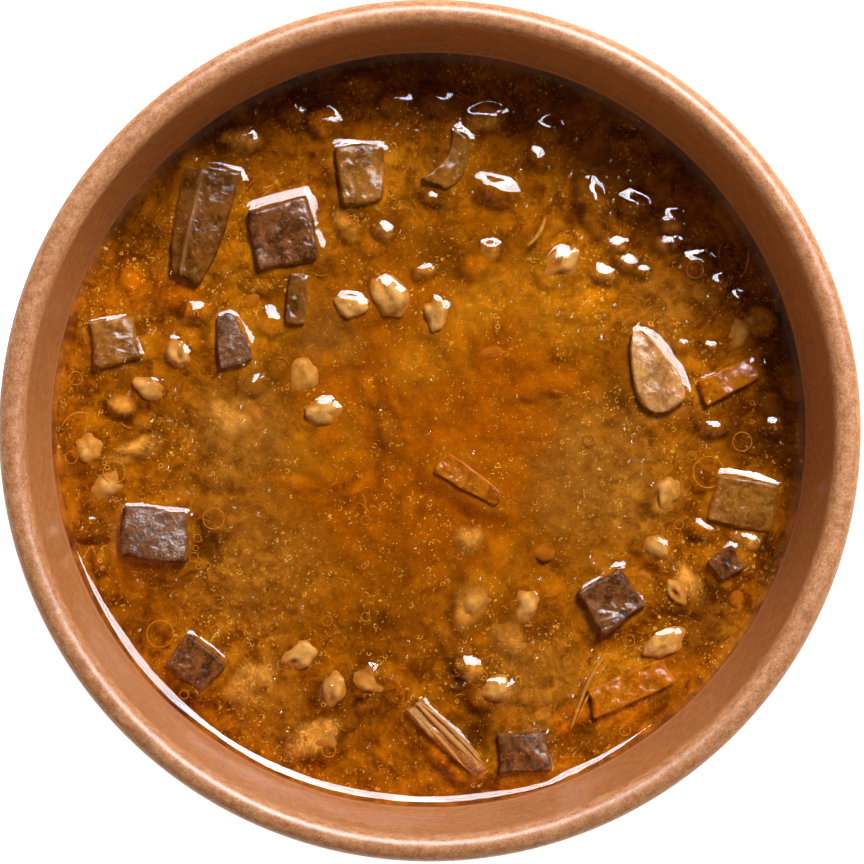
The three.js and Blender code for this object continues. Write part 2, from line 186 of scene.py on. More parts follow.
# Pieces wholly under the surface, dim and soft-edged: look, x, y, length, width, turn and how
# clearly they show.
SUNKEN = (
    ("barley", 7.2, -19.8, 4.2, 4.0, 0, 0.8), ("carrot", -12.8, -10.6, 6.2, 2.4, 35, 0.8),
    ("gold", -11.3, 7.0, 5.4, 3.2, 100, 0.6), ("onion", -7.5, -0.4, 7.0, 3.0, 105, 0.5),
    ("carrot", -18.0, -0.5, 6.4, 4.6, 50, 0.7), ("gold", 4.7, 15.3, 9.0, 4.8, 92, 0.5),
    ("barley", -36.0, 2.0, 6.2, 4.2, -35, 0.8), ("onion", -51.6, 1.0, 5.0, 4.0, 20, 0.5),
    ("barley", -52.8, -3.6, 7.2, 2.6, 22, 0.9), ("celery", -58.6, -17.2, 4.6, 4.4, 0, 0.5),
    ("onion", 61.5, 4.5, 4.0, 4.0, 0, 0.4), ("barley", 42.0, -13.5, 3.4, 3.0, 30, 0.7),
    ("barley", -32.0, -45.5, 9.0, 5.8, 35, 0.6), ("barley", -21.0, -55.5, 9.0, 5.0, 25, 0.8),
    ("gold", 12.8, -22.8, 6.4, 4.2, 80, 0.7), ("barley", 7.4, -31.6, 7.0, 5.0, 62, 0.6),
    ("barley", 14.2, -37.4, 5.6, 5.0, 0, 0.5), ("onion", -11.3, -50.0, 5.4, 2.6, 15, 0.6),
    ("onion", -2.5, 44.5, 12.0, 3.0, 62, 0.6), ("onion", 2.6, 44.0, 9.0, 2.6, 100, 0.5),
    ("gold", 17.8, 37.5, 5.0, 2.0, 55, 0.6), ("gold", 9.0, 29.6, 5.4, 4.4, 20, 0.7),
    ("gold", 29.0, 22.0, 9.0, 5.0, 20, 0.4), ("barley", 46.4, -27.0, 6.4, 3.0, -58, 0.7),
    ("carrot", 26.0, -52.0, 8.0, 5.0, 30, 0.6), ("carrot", 36.0, -50.4, 10.0, 5.0, 24, 0.6),
    ("carrot", -44.5, 24.4, 7.6, 4.0, 20, 0.8), ("carrot", -53.6, 26.0, 9.0, 3.6, 96, 0.7),
    ("carrot", -36.0, 32.4, 6.0, 3.6, 40, 0.5), ("dark", -19.5, 17.6, 6.5, 5.0, 30, 0.5),
    ("dark", 47.0, 3.4, 7.0, 5.0, 0, 0.4), ("onion", 33.0, 3.0, 5.0, 3.0, 10, 0.3),
    ("carrot", -26.0, -9.0, 9.0, 3.4, -12, 0.4), ("gold", -4.0, -15.0, 8.0, 4.0, 70, 0.4),
    ("onion", -42.0, -31.0, 8.0, 4.0, 12, 0.3), ("gold", 23.0, -30.0, 7.0, 4.0, 100, 0.4),
    ("onion", 3.4, -38.0, 5.0, 3.6, 110, 0.5), ("carrot", 21.0, 8.0, 11.0, 4.0, 10, 0.45),
    ("gold", 14.0, -6.0, 10.0, 4.0, -30, 0.4), ("gold", 0.5, -27.0, 8.0, 4.0, 30, 0.35),
)

# Strands that show: start, bend and end across the bowl, half thickness, height over the
# broth, and how much they are of meat.
THREADS = (
    ((32.2, -40.1), (28.6, -43.8), (25.4, -54.2), 0.42, 0.05, 0.1),
    ((31.6, -40.9), (28.0, -45.0), (25.9, -53.4), 0.30, 0.22, 0.3),
    ((32.6, -41.2), (29.5, -45.4), (26.4, -52.8), 0.26, 0.12, 0.0),
    ((57.3, 32.6), (58.0, 30.0), (56.1, 27.4), 0.16, 0.25, 0.0),
    ((-2.4, -48.9), (2.6, -54.0), (8.6, -60.0), 0.50, 0.75, 0.9),
    ((-1.6, -49.0), (4.0, -53.2), (9.2, -58.8), 0.34, 0.80, 1.0),
    ((-3.0, -50.2), (1.4, -55.0), (6.4, -60.6), 0.40, 0.55, 0.5),
    ((0.5, -50.4), (5.0, -54.8), (9.8, -60.0), 0.24, 0.85, 1.0),
    ((-66.2, 0.2), (-64.0, 4.6), (-60.4, 2.4), 0.17, 0.10, 0.0),
    ((17.6, 33.0), (20.4, 35.2), (20.8, 38.2), 0.42, 0.45, 0.3),
)

# Bubbles that show as a fine bright ring: x, y and radius.
RINGS = (
    (-38.7, -15.9, 1.9), (-41.6, -19.4, 0.7), (-41.9, -21.2, 0.5), (-42.2, -22.8, 0.8),
    (-41.3, -24.4, 0.6), (-63.4, 9.3, 1.2), (-64.2, -4.9, 1.1), (-56.5, -7.6, 2.0),
    (-48.3, -36.6, 2.4), (-18.3, -34.3, 0.9), (56.4, -2.1, 1.7), (50.3, -7.6, 2.8),
    (28.9, -1.6, 1.0), (47.3, -4.6, 0.8), (36.0, -37.9, 1.0), (35.3, -54.0, 1.0),
    (47.8, 28.8, 1.5), (9.7, -44.2, 0.8), (-18.0, -57.6, 1.2), (-11.4, -16.2, 0.8),
    (-11.4, -33.6, 0.8), (-38.3, -36.0, 0.9), (-44.0, -47.5, 0.8), (45.0, -17.0, 0.8),
)


# ---- Sizes and colours ------------------------------------------------------------


def size(name, default, text, low=0.0001, high=0.5):
    return FloatProperty(
        name=name, description=text, default=default, min=low, max=high,
        subtype="DISTANCE", unit="LENGTH",
    )


def tint(name, default, text):
    return FloatVectorProperty(
        name=name, description=text, default=(*default, 1.0), min=0.0, max=1.0,
        size=4, subtype="COLOR",
    )


class SoupBowlSettings(bpy.types.PropertyGroup):
    """The paper bowl."""

    rim_radius: size("Rim Radius", BOWL_HIGH[0], "Outside of the rolled rim")
    height: size("Height", BOWL_HIGH[2], "From the foot to the top of the roll")
    roll_radius: size("Roll Radius", 2.4 * MM, "Half the thickness of the rolled rim")
    foot_radius: size("Foot Radius", 62.5 * MM, "Outside of the wall at the foot")
    paper: size("Paper", 0.6 * MM, "Thickness of the wall and of the base disc")
    foot_ring: size("Foot Ring", 1.4 * MM, "Wall and folded base together at the foot")
    base_recess: size("Base Recess", 5 * MM, "Underside of the base disc above the table")
    steps: IntProperty(
        name="Steps", description="Faces round the bowl", default=288, min=16, max=512
    )
    kraft: tint("Kraft", (0.54, 0.215, 0.078), "The brown of the paper")
    fibre: tint("Fibre", (0.73, 0.37, 0.17), "The paler fibres in the paper")


class SoupBrothSettings(bpy.types.PropertyGroup):
    """The broth and what floats in it."""

    level: size("Level", 37.5 * MM, "Surface of the broth above the table")
    creep: size("Creep", 1.6 * MM, "How far the broth climbs the wall")
    creep_reach: size("Creep Reach", 1.9 * MM, "How fast that climb fades")
    haze_depth: size("Haze Depth", 1.15 * MM, "Depth at which a sunken piece is two thirds hidden")
    grid: IntProperty(
        name="Grid", description="Faces across the surface", default=300, min=20, max=310
    )
    orange: tint("Orange", (0.40, 0.095, 0.0006), "The broth in the middle")
    amber: tint("Amber", (0.31, 0.088, 0.0015), "The broth elsewhere")
    # Gold is also the colour of the painted glow at the waterline of pieces and round the cut
    # pieces.
    gold: tint("Gold", (0.60, 0.22, 0.006), "The bright, thin places")
    cloud: tint("Cloud", (0.37, 0.138, 0.012), "The cloudy places")
    deep: tint("Deep", (0.095, 0.024, 0.0006), "The clear, deep places")
    # Painted glints: the golden colour of the small glints painted in rings and specks on the
    # broth and along the fibres.
    spark: tint("Spark", (1.0, 0.56, 0.09), "The glints of tiny drops of oil")


class SoupFoodSettings(bpy.types.PropertyGroup):
    """The grains and the cut pieces."""

    grain_length: size("Grain Length", 6.4 * MM, "Length of a barley grain")
    grain_width: size("Grain Width", 4.6 * MM, "Width of a barley grain")
    grain_height: size("Grain Height", 3.8 * MM, "Depth of a barley grain")
    sunken_grains: IntProperty(
        name="Sunken Grains", description="Barley grains under the surface", default=26,
        min=0, max=600,
    )
    fibres: IntProperty(
        name="Fibres", description="Fine strands just under the surface", default=40,
        min=0, max=600,
    )
    barley: tint("Barley", (0.80, 0.44, 0.115), "Cooked barley")
    dark: tint("Dark Root", (0.27, 0.098, 0.025), "The dark dice")
    mauve: tint("Mauve Root", (0.26, 0.108, 0.040), "The roughest of the dark dice")
    pale: tint("Pale Root", (0.42, 0.175, 0.022), "The pale dice")
    cream: tint("Cream Root", (0.76, 0.39, 0.13), "The palest of the cut pieces")
    celery: tint("Celery", (0.25, 0.088, 0.012), "The celery")
    carrot: tint("Carrot", (0.60, 0.19, 0.003), "The carrot")
    meat: tint("Meat", (0.60, 0.29, 0.09), "The shredded meat")
    onion: tint("Onion", (0.38, 0.155, 0.016), "The onion")


class SoupStageSettings(bpy.types.PropertyGroup):
    """The floor, the light and the camera."""

    camera_height: size("Camera Height", 0.66, "Camera above the table", 0.1, 3.0)
    key_watts: FloatProperty(
        name="Key Light", description="Power of the softbox", default=7.9, min=0, unit="POWER"
    )
    floor: tint("Floor", (0.86, 0.86, 0.86), "The pale floor")


# ---- Material helpers -------------------------------------------------------------


class Nodes:
    """Adds nodes to one shader tree and links them."""

    def __init__(self, tree):
        self.tree = tree

    def add(self, kind, inputs=None, **settings):
        node = self.tree.nodes.new("ShaderNode" + kind)
        for key, value in settings.items():
            setattr(node, key, value)
        for key, value in (inputs or {}).items():
            self.put(node.inputs[key], value)
        return node

    def put(self, socket, value):
        if isinstance(value, bpy.types.NodeSocket):
            self.tree.links.new(value, socket)
        else:
            socket.default_value = value

    def math(self, operation, a, b=0.0, clamp=False):
        return self.add("Math", {0: a, 1: b}, operation=operation, use_clamp=clamp).outputs[0]

    def mix(self, share, a, b, blend="MIX"):
        node = self.add("Mix", {0: share, 6: a, 7: b}, data_type="RGBA", blend_type=blend)
        return node.outputs[2]

    def span(self, value, low, high, to_low=0.0, to_high=1.0, smooth=True):
        node = self.add(
            "MapRange", {0: value, 1: low, 2: high, 3: to_low, 4: to_high},
            interpolation_type="SMOOTHSTEP" if smooth else "LINEAR",
        )
        return node.outputs[0]

    def noise(self, vector, scale, detail=3.0, rough=0.5, bend=0.0):
        node = self.add(
            "TexNoise",
            {"Vector": vector, "Scale": scale, "Detail": detail, "Roughness": rough,
             "Distortion": bend},
        )
        return node.outputs["Fac"]

    def cells(self, vector, scale, feature="F1", random=1.0):
        node = self.add(
            "TexVoronoi", {"Vector": vector, "Scale": scale, "Randomness": random},
            feature=feature,
        )
        return node.outputs["Distance"]

    def bump(self, height, distance, strength=1.0, normal=None):
        inputs = {"Height": height, "Distance": distance, "Strength": strength}
        if normal is not None:
            inputs["Normal"] = normal
        return self.add("Bump", inputs).outputs[0]

    def place(self, scale=(1, 1, 1), shift=(0, 0, 0)):
        """The position in the frame, stretched by scale."""
        where = self.add("TexCoord").outputs["Object"]
        return self.add("Mapping", {"Vector": where, "Scale": scale, "Location": shift}).outputs[0]

    def attribute(self, name, output="Fac"):
        return self.add("Attribute", attribute_name=name).outputs[output]

    def group(self, tree, inputs):
        node = self.add("Group", node_tree=tree)
        for key, value in inputs.items():
            self.put(node.inputs[key], value)
        return node


def new_material(name):
    material = bpy.data.materials.new(name)
    material.use_nodes = True
    material.node_tree.nodes.clear()
    return material, Nodes(material.node_tree)


def close_material(nodes, shader):
    nodes.add("OutputMaterial", {"Surface": shader})


def new_group(name, inputs, outputs):
    """A node group with these sockets, and the builder, its input node and its output node."""
    tree = bpy.data.node_groups.new(name, "ShaderNodeTree")
    for label, kind in inputs:
        tree.interface.new_socket(label, in_out="INPUT", socket_type="NodeSocket" + kind)
    for label, kind in outputs:
        tree.interface.new_socket(label, in_out="OUTPUT", socket_type="NodeSocket" + kind)
    nodes = Nodes(tree)
    source = nodes.tree.nodes.new("NodeGroupInput").outputs
    target = nodes.tree.nodes.new("NodeGroupOutput").inputs
    return tree, nodes, source, target


def broth_color_group():
    """The colour of the cloudy broth: its zone with mottling, and painted golden glints in fine
    rings and specks.
    """
    broth = bpy.context.scene.soup_broth
    tree, n, _, target = new_group("broth_color", (), (("Color", "Color"),))
    flat = n.place(scale=(1, 1, 0.35))
    zone = n.attribute("zone", "Color")
    out = n.add("VectorMath", {0: n.place((1, 1, 0))}, operation="LENGTH").outputs["Value"]
    busy = n.span(out, 22 * MM, 50 * MM, 0.30, 1.0)
    mottle = n.noise(flat, 330, 3, 0.5, 0.9)
    darker = n.mix(1.0, zone, (0.42, 0.30, 0.12, 1), "MULTIPLY")
    color = n.mix(n.math("MULTIPLY", n.span(mottle, 0.50, 0.30, 0.0, 0.8), busy), zone, darker)
    brighter = n.mix(1.0, zone, (1.75, 1.95, 2.4, 1), "MULTIPLY")
    color = n.mix(n.math("MULTIPLY", n.span(mottle, 0.52, 0.72, 0.0, 0.8), busy), color, brighter)
    swirl = n.noise(flat, 150, 4, 0.58, 2.2)
    drift = n.add("CombineXYZ", {0: mottle, 1: swirl}).outputs[0]
    bent = n.add("VectorMath", {0: drift, 1: (3.4 * MM,) * 3, 2: flat}, operation="MULTIPLY_ADD")
    blob = n.span(n.cells(bent.outputs[0], 180), 0.44, 0.22)
    part = n.math("MULTIPLY", n.span(n.noise(flat, 75, 1), 0.48, 0.56, 0.0, 0.65), busy)
    color = n.mix(n.math("MULTIPLY", blob, part), color, brighter)
    vein = n.math("ABSOLUTE", n.math("SUBTRACT", swirl, 0.5))
    color = n.mix(n.math("MULTIPLY", n.span(vein, 0.035, 0.0, 0.0, 0.6), busy), color, brighter)
    smudge = n.noise(bent.outputs[0], 210, 3, 0.55)
    color = n.mix(n.math("MULTIPLY", n.span(smudge, 0.47, 0.33, 0.0, 0.7), busy), color, darker)
    color = n.mix(n.math("MULTIPLY", n.span(smudge, 0.57, 0.70, 0.0, 0.6), busy), color, brighter)
    sand = n.noise(flat, 2300, 2, 0.7)
    color = n.mix(n.span(sand, 0.52, 0.30, 0.0, 0.25), color, darker)
    color = n.mix(n.span(sand, 0.56, 0.78, 0.0, 0.35), color, brighter)
    clusters = n.span(n.noise(bent.outputs[0], 130, 3, 0.65), 0.46, 0.58, 0.15, 1.0)
    # Painted glints: fine bright rings, in clusters, in the glint colour.
    for scale, reach, width, share in ((620, 0.24, 0.05, 0.9), (1150, 0.22, 0.075, 0.8)):
        away = n.cells(flat, scale)
        ring = n.math("ABSOLUTE", n.math("SUBTRACT", away, reach))
        arc = n.span(n.noise(flat, scale * 1.7, 1), 0.50, 0.58)
        curl = n.math("MULTIPLY", n.span(ring, width, width * 0.3), arc)
        curl = n.math("MULTIPLY", curl, clusters)
        color = n.mix(n.math("MULTIPLY", curl, share), color, tuple(broth.spark))
    # Painted glints: fine bright specks.
    speck = n.span(n.cells(flat, 1500), 0.20, 0.10)
    chosen = n.span(n.noise(flat, 1100, 0), 0.58, 0.66)
    speck = n.math("MULTIPLY", speck, chosen)
    color = n.mix(n.math("MULTIPLY", speck, 0.9), color, tuple(broth.spark))
    n.put(target["Color"], color)
    return tree


def haze_group():
    """A colour and a normal as they show through the broth, from their depth under it, with a
    painted golden glow where a piece meets the surface.
    """
    if "broth_haze" in bpy.data.node_groups:
        return bpy.data.node_groups["broth_haze"]
    broth = bpy.context.scene.soup_broth
    tree, n, source, target = new_group(
        "broth_haze", (("Color", "Color"),),
        (("Color", "Color"), ("Normal", "Vector")),
    )
    height = n.add("SeparateXYZ", {0: n.place()}).outputs[2]
    below = n.math("SUBTRACT", broth.level, height)
    depth = n.math("MAXIMUM", below, 0.0)
    seen = n.math("EXPONENT", n.math("MULTIPLY", depth, -1 / broth.haze_depth))
    steeped = n.mix(1.0, source["Color"], (0.95, 0.52, 0.06, 1), "MULTIPLY")
    amber = n.mix(n.span(below, -0.2 * MM, 1.6 * MM, 0, 1.0), source["Color"], steeped)
    # Painted glow: a golden band just under the surface, where a piece meets the broth.
    painted_waterline_glow = n.math("ABSOLUTE", n.math("SUBTRACT", below, 0.15 * MM))
    amber = n.mix(n.span(painted_waterline_glow, 0.4 * MM, 0.05 * MM, 0, 0.55), amber, tuple(broth.gold))
    zone = n.attribute("zone", "Color")
    wisps = n.span(n.noise(n.place(), 330, 2), 0.34, 0.66)
    around = n.mix(wisps, n.mix(1.0, zone, (0.72, 0.62, 0.50, 1), "MULTIPLY"),
                   n.mix(1.0, zone, (1.40, 1.50, 1.70, 1), "MULTIPLY"))
    hidden = n.math("SUBTRACT", 1.0, seen)
    n.put(target["Color"], n.mix(seen, around, amber))
    own = n.add("NewGeometry").outputs["Normal"]
    flat = n.add("Mix", {0: hidden, 4: own, 5: (0, 0, 1)}, data_type="VECTOR").outputs[1]
    n.put(target["Normal"], n.add("VectorMath", {0: flat}, operation="NORMALIZE").outputs[0])
    return tree


def kraft_material():
    bowl, broth = bpy.context.scene.soup_bowl, bpy.context.scene.soup_broth
    material, n = new_material("kraft_paper")
    streaks = n.noise(n.place((1, 1, 3.5)), 560, 4, 0.75)
    specks = n.noise(n.place(), 2600, 3, 0.75)
    inside = n.attribute("inside")
    tone = n.noise(n.place((1, 1, 4)), 90, 1)
    color = n.mix(n.span(streaks, 0.40, 0.64, 0, 0.9), tuple(bowl.kraft), tuple(bowl.fibre))
    color = n.mix(n.span(streaks, 0.44, 0.30, 0, 0.7), color, (0.34, 0.115, 0.032, 1))
    color = n.mix(n.span(specks, 0.48, 0.30, 0, 0.7), color, (0.27, 0.08, 0.02, 1))
    color = n.mix(n.span(specks, 0.54, 0.72, 0, 0.7), color, (0.95, 0.58, 0.30, 1))
    color = n.mix(n.span(tone, 0.35, 0.65, 0.0, 0.12), color, (0.44, 0.15, 0.045, 1))
    # Painted shade: the inside of the bowl is painted darker and warmer than the outside.
    inner_painted_shade = n.mix(1.0, color, (0.88, 0.79, 0.52, 1), "MULTIPLY")
    color = n.mix(n.math("MULTIPLY", inside, 0.85), color, inner_painted_shade)
    height = n.add("SeparateXYZ", {0: n.place()}).outputs[2]
    edge = n.math("SUBTRACT", height, broth.level + broth.creep)
    wander = n.math("MULTIPLY", n.math("SUBTRACT", n.noise(n.place(), 60, 3), 0.5), 1.6 * MM)
    edge = n.math("ADD", edge, wander)
    soaked = n.mix(1.0, color, (0.80, 0.50, 0.06, 1), "MULTIPLY")
    wet = n.math("MULTIPLY", n.span(edge, 1.1 * MM, 0.5 * MM), inside)
    color = n.mix(wet, color, soaked)
    # Painted reflection: a pale line along the top of the wet band.
    painted_reflection_line = n.math("ABSOLUTE", n.math("SUBTRACT", edge, 1.15 * MM))
    painted_reflection_line = n.math("MULTIPLY", n.span(painted_reflection_line, 0.35 * MM, 0.05 * MM), inside)
    color = n.mix(n.math("MULTIPLY", painted_reflection_line, 0.6), color, (0.85, 0.62, 0.52, 1))
    haze = n.group(haze_group(), {"Color": color}).outputs
    under = n.math("MULTIPLY", n.span(height, broth.level, broth.level - 0.4 * MM), inside)
    color = n.mix(under, color, haze["Color"])
    relief = n.math("ADD", n.math("MULTIPLY", streaks, 0.6), n.math("MULTIPLY", specks, 0.55))
    relief = n.math("ADD", relief, n.math("MULTIPLY", n.attribute("lap"), 3.2))
    shader = n.add("BsdfPrincipled", {
        "Base Color": color,
        "Roughness": n.span(specks, 0.3, 0.7, 0.28, 0.46, smooth=False),
        "Normal": n.bump(relief, 0.07 * MM, 0.55),
        "Specular IOR Level": 0.27, "IOR": 1.5,
    })
    close_material(n, shader.outputs[0])
    return material


def wet_material(name, color, dark, pale, grain, glitter, relief, glow=0.3):
    """A wet cut face: mottled and fibrous, with a film that glitters, hazed under the broth."""
    material, n = new_material(name)
    here = n.place()
    broad = n.noise(here, grain, 4, 0.6, 0.6)
    fine = n.noise(here, grain * 4.3, 4, 0.65, 0.4)
    veins = n.math("ABSOLUTE", n.math("SUBTRACT", n.noise(here, grain * 1.7, 3, 0.6, 0.5), 0.5))
    crystals = n.noise(here, glitter, 3, 0.55, 0.5)
    shade = n.mix(n.span(broad, 0.32, 0.62, 0.9, 0.0), tuple(color), dark)
    shade = n.mix(n.span(fine, 0.50, 0.76, 0.0, 0.8), shade, pale)
    shade = n.mix(n.span(veins, 0.035, 0.0, 0.0, 0.45), shade, dark)
    # Painted highlight: paler along the raised ridge of the celery.
    shade = n.mix(n.math("MULTIPLY", n.attribute("ridge"), 0.55), shade, pale)
    haze = n.group(haze_group(), {"Color": shade}).outputs
    height = n.math("ADD", n.math("MULTIPLY", fine, 0.5), n.math("MULTIPLY", broad, 0.8))
    patches = n.span(n.noise(here, 330, 2), 0.44, 0.60, 0.35, 1.0)
    height = n.math("ADD", n.math("MULTIPLY", height, 0.3), n.math("MULTIPLY", crystals, patches))
    own = n.add("NewGeometry").outputs["Normal"]
    level_face = n.add("SeparateXYZ", {0: own}).outputs[2]
    shader = n.add("BsdfPrincipled", {
        "Base Color": haze["Color"],
        "Roughness": n.span(fine, 0.3, 0.7, 0.4, 0.6, smooth=False),
        "Normal": n.bump(height, relief * MM, 1.0, haze["Normal"]),
        "Specular IOR Level": 0.0, "IOR": 1.4,
        "Subsurface Weight": glow, "Subsurface Scale": 1.0 * MM,
        "Subsurface Radius": (1.0, 0.35, 0.08),
        "Coat Weight": n.span(level_face, 0.90, 0.985, 0.0, 0.6),
        "Coat Roughness": 0.06, "Coat IOR": 1.4, "Coat Normal": n.bump(height, relief * MM),
    })
    close_material(n, shader.outputs[0])
    return material


def barley_material():
    food = bpy.context.scene.soup_food
    material, n = new_material("cooked_barley")
    here = n.place()
    cloud = n.noise(here, 420, 4, 0.6)
    fine = n.noise(here, 2400, 3, 0.6)
    color = n.mix(n.span(cloud, 0.38, 0.66, 0.0, 0.75), tuple(food.barley), (0.50, 0.20, 0.03, 1))
    color = n.mix(n.span(fine, 0.55, 0.8, 0.0, 0.4), color, (0.95, 0.66, 0.34, 1))
    color = n.mix(n.attribute("crease"), color, (0.14, 0.045, 0.006, 1))
    haze = n.group(haze_group(), {"Color": color}).outputs
    shader = n.add("BsdfPrincipled", {
        "Base Color": haze["Color"],
        "Roughness": n.span(cloud, 0.3, 0.7, 0.40, 0.6, smooth=False),
        "Normal": n.bump(fine, 0.05 * MM, 0.6, haze["Normal"]),
        "Subsurface Weight": 0.4, "Subsurface Scale": 1.2 * MM,
        "Subsurface Radius": (1.0, 0.45, 0.12),
        "Specular IOR Level": 0.06, "IOR": 1.4,
    })
    close_material(n, shader.outputs[0])
    return material


def thread_material():
    food, broth = bpy.context.scene.soup_food, bpy.context.scene.soup_broth
    material, n = new_material("soup_fibre")
    fibres = n.noise(n.place(), 900, 4, 0.6, 0.4)
    color = n.mix(n.attribute("kind"), tuple(broth.gold), tuple(food.meat))
    # Painted glints along the fibres.
    color = n.mix(n.span(fibres, 0.50, 0.75, 0.0, 0.7), color, tuple(broth.spark))
    haze = n.group(haze_group(), {"Color": color}).outputs
    shader = n.add("BsdfPrincipled", {
        "Base Color": haze["Color"],
        "Roughness": n.span(fibres, 0.3, 0.7, 0.4, 0.6, smooth=False),
        "Normal": n.bump(fibres, 0.06 * MM, 0.6, haze["Normal"]),
        "Specular IOR Level": 0.05, "IOR": 1.4,
    })
    close_material(n, shader.outputs[0])
    return material


def murk_material():
    material, n = new_material("cloudy_broth")
    color = n.group(broth_color_group(), {}).outputs["Color"]
    pulp = n.noise(n.place(), 700, 3, 0.6)
    shader = n.add("BsdfPrincipled", {
        "Base Color": color,
        "Roughness": n.span(pulp, 0.3, 0.7, 0.5, 0.7, smooth=False),
        "Normal": n.bump(pulp, 0.22 * MM, 0.5),
        "Specular IOR Level": 0.0, "IOR": 1.34,
    })
    close_material(n, shader.outputs[0])
    return material


def film_material():
    """Clear broth over the cloudy one. Light from the lamps passes straight through it."""
    material, n = new_material("clear_broth")
    ripple = n.noise(n.place(), 85, 2, 0.4)
    grit = n.math("MULTIPLY", n.noise(n.place(), 950, 2, 0.5), n.attribute("rough"))
    height = n.math("ADD", n.math("MULTIPLY", ripple, 0.8), n.math("MULTIPLY", grit, 0.6))
    glass = n.add("BsdfPrincipled", {
        "Base Color": (1.0, 0.93, 0.76, 1), "Roughness": 0.0, "IOR": 1.34,
        "Transmission Weight": 1.0, "Normal": n.bump(height, 0.22 * MM, 0.6),
    })
    clear = n.add("BsdfTransparent", {"Color": (1, 1, 1, 1)})
    path = n.add("LightPath").outputs
    passes = n.math("MAXIMUM", path["Is Shadow Ray"], path["Is Diffuse Ray"])
    mixed = n.add("MixShader", {0: passes, 1: glass.outputs[0], 2: clear.outputs[0]})
    close_material(n, mixed.outputs[0])
    return material


# ---- Shape helpers ----------------------------------------------------------------


def new_piece(name, bm, material, nodes=(), zone=None):
    """A finished piece at the origin, smooth, riding on the bowl, with the broth's colour at
    each of its points, or with the zone colours given."""
    mesh = bpy.data.meshes.new(name)
    bm.to_mesh(mesh)
    bm.free()
    mesh.shade_smooth()
    mesh.materials.append(material)
    if zone is None:
        zone = zone_colors(*points_of(mesh)[:2])
    layer = mesh.color_attributes.new("zone", "FLOAT_COLOR", "POINT")
    layer.data.foreach_set("color", np.column_stack((zone, np.ones(len(zone)))).ravel())
    piece = bpy.data.objects.new(name, mesh)
    bpy.context.scene.collection.objects.link(piece)
    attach(piece, "root")
    if nodes:
        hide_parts(*nodes)
    return piece


def points_of(mesh):
    """The vertices' x, y and z in mm."""
    flat = np.empty(len(mesh.vertices) * 3)
    mesh.vertices.foreach_get("co", flat)
    return flat.reshape(-1, 3).T / MM


def smooth(values, low, high):
    """0 at low and 1 at high, with a soft start and end."""
    share = np.clip((values - low) / (high - low), 0, 1)
    return share * share * (3 - 2 * share)


def fractal(x, y, wave, seed, octaves=3):
    """Smooth uneven values about -1 to 1 that vary over this many mm."""
    points = zip((x / wave).tolist(), (y / wave).tolist())
    return np.array([noise.fractal((px, py, seed), 1.0, 2.0, octaves) for px, py in points])


def zone_colors(x, y):
    """The colour of the broth at points in mm, before its fine texture."""
    broth = bpy.context.scene.soup_broth
    wx, wy = x + 3.4 * fractal(x, y, 8.0, 2.2), y + 3.4 * fractal(x, y, 8.0, 8.8)
    color = np.tile(broth.amber[:3], (len(x), 1))

    def lay(share, tint):
        color[:] += share[:, None] * (np.array(tint[:3]) - color)

    lay(0.8 * smooth(np.hypot(wx, wy), 34, 12), broth.orange)
    for tint, px, py, reach, share in PLACES:
        away = np.hypot(wx - px, wy - py) / reach
        lay(share * smooth(away, 1.15, 0.25), getattr(broth, tint))
    return color


def look_color(look):
    """The red, green and blue of a look, as an array."""
    broth, food = bpy.context.scene.soup_broth, bpy.context.scene.soup_food
    return np.array((broth.gold if look == "gold" else getattr(food, look))[:3])


def lump_colors(x, y, color):
    """Lays the sunken pieces and lumps over the colour of the broth, with soft edges and a painted
    shadow round each, and paints a golden glow round the cut pieces.
    """
    wx, wy = x + 0.7 * fractal(x, y, 3.2, 4.1), y + 0.7 * fractal(x, y, 3.2, 6.3)
    amber = np.array((0.85, 0.66, 0.34))
    for look, px, py, length, width, turn, clear in SUNKEN:
        away = grain_distance((px, py, turn), wx, wy, length, width)
        tint = look_color(look) * amber
        share = min(1.15 * clear, 1.0) * smooth(away, 1.2, -1.3)
        # Painted shadow: a dark ring round each sunken piece.
        shadow = 0.35 * clear * smooth(away, 1.9, 0.3) * (1 - smooth(away, 1.0, -1.2))
        color *= 1 - shadow[:, None]
        color += share[:, None] * (tint - color)
    patchy = smooth(fractal(x, y, 1.7, 7.7), -0.35, 0.45)
    for look, px, py, length, width, turn, rise in LUMPS:
        away = grain_distance((px, py, turn), wx, wy, length, width)
        tint = look_color(look) * amber
        share = (0.6 + 0.3 * rise) * smooth(away, 0.6, -0.9) * (0.45 + 0.55 * patchy)
        # Painted shadow: a dark ring round each lump.
        shadow = 0.3 * smooth(away, 1.6, 0.2) * (1 - smooth(away, 0.6, -0.9))
        color *= 1 - shadow[:, None]
        color += share[:, None] * (tint - color)
    # Painted glow: a golden halo round each cut piece, standing in for light scattered through the
    # broth.
    for values in PIECES.values():
        away = piece_distance(values, wx, wy)
        share = 0.5 * smooth(away, 2.4, 0.3) * (0.3 + 0.7 * patchy)
        color += share[:, None] * (look_color("gold") * 0.75 - color)
    return color


def face_outward(bm):
    bmesh.ops.recalc_face_normals(bm, faces=bm.faces)


def inner_radius(height):
    """The inside of the wall, in millimetres, at a height in millimetres."""
    bowl = bpy.context.scene.soup_bowl
    low = (bowl.foot_radius - bowl.paper) / MM
    lip = (bowl.rim_radius - 2 * bowl.roll_radius) / MM
    top = (bowl.height - bowl.roll_radius) / MM
    return low + (lip - low) * height / top


def piece_matrix(values):
    """Where a cut piece sits, in metres."""
    _, _, at, (_, _, depth), turn, proud, lean, _ = values
    level = bpy.context.scene.soup_broth.level
    return (
        Matrix.Translation((at[0] * MM, at[1] * MM, level + (proud - depth / 2) * MM))
        @ Matrix.Rotation(math.radians(turn), 4, "Z")
        @ Matrix.Rotation(math.radians(lean[0]), 4, "X")
        @ Matrix.Rotation(math.radians(lean[1]), 4, "Y")
    )


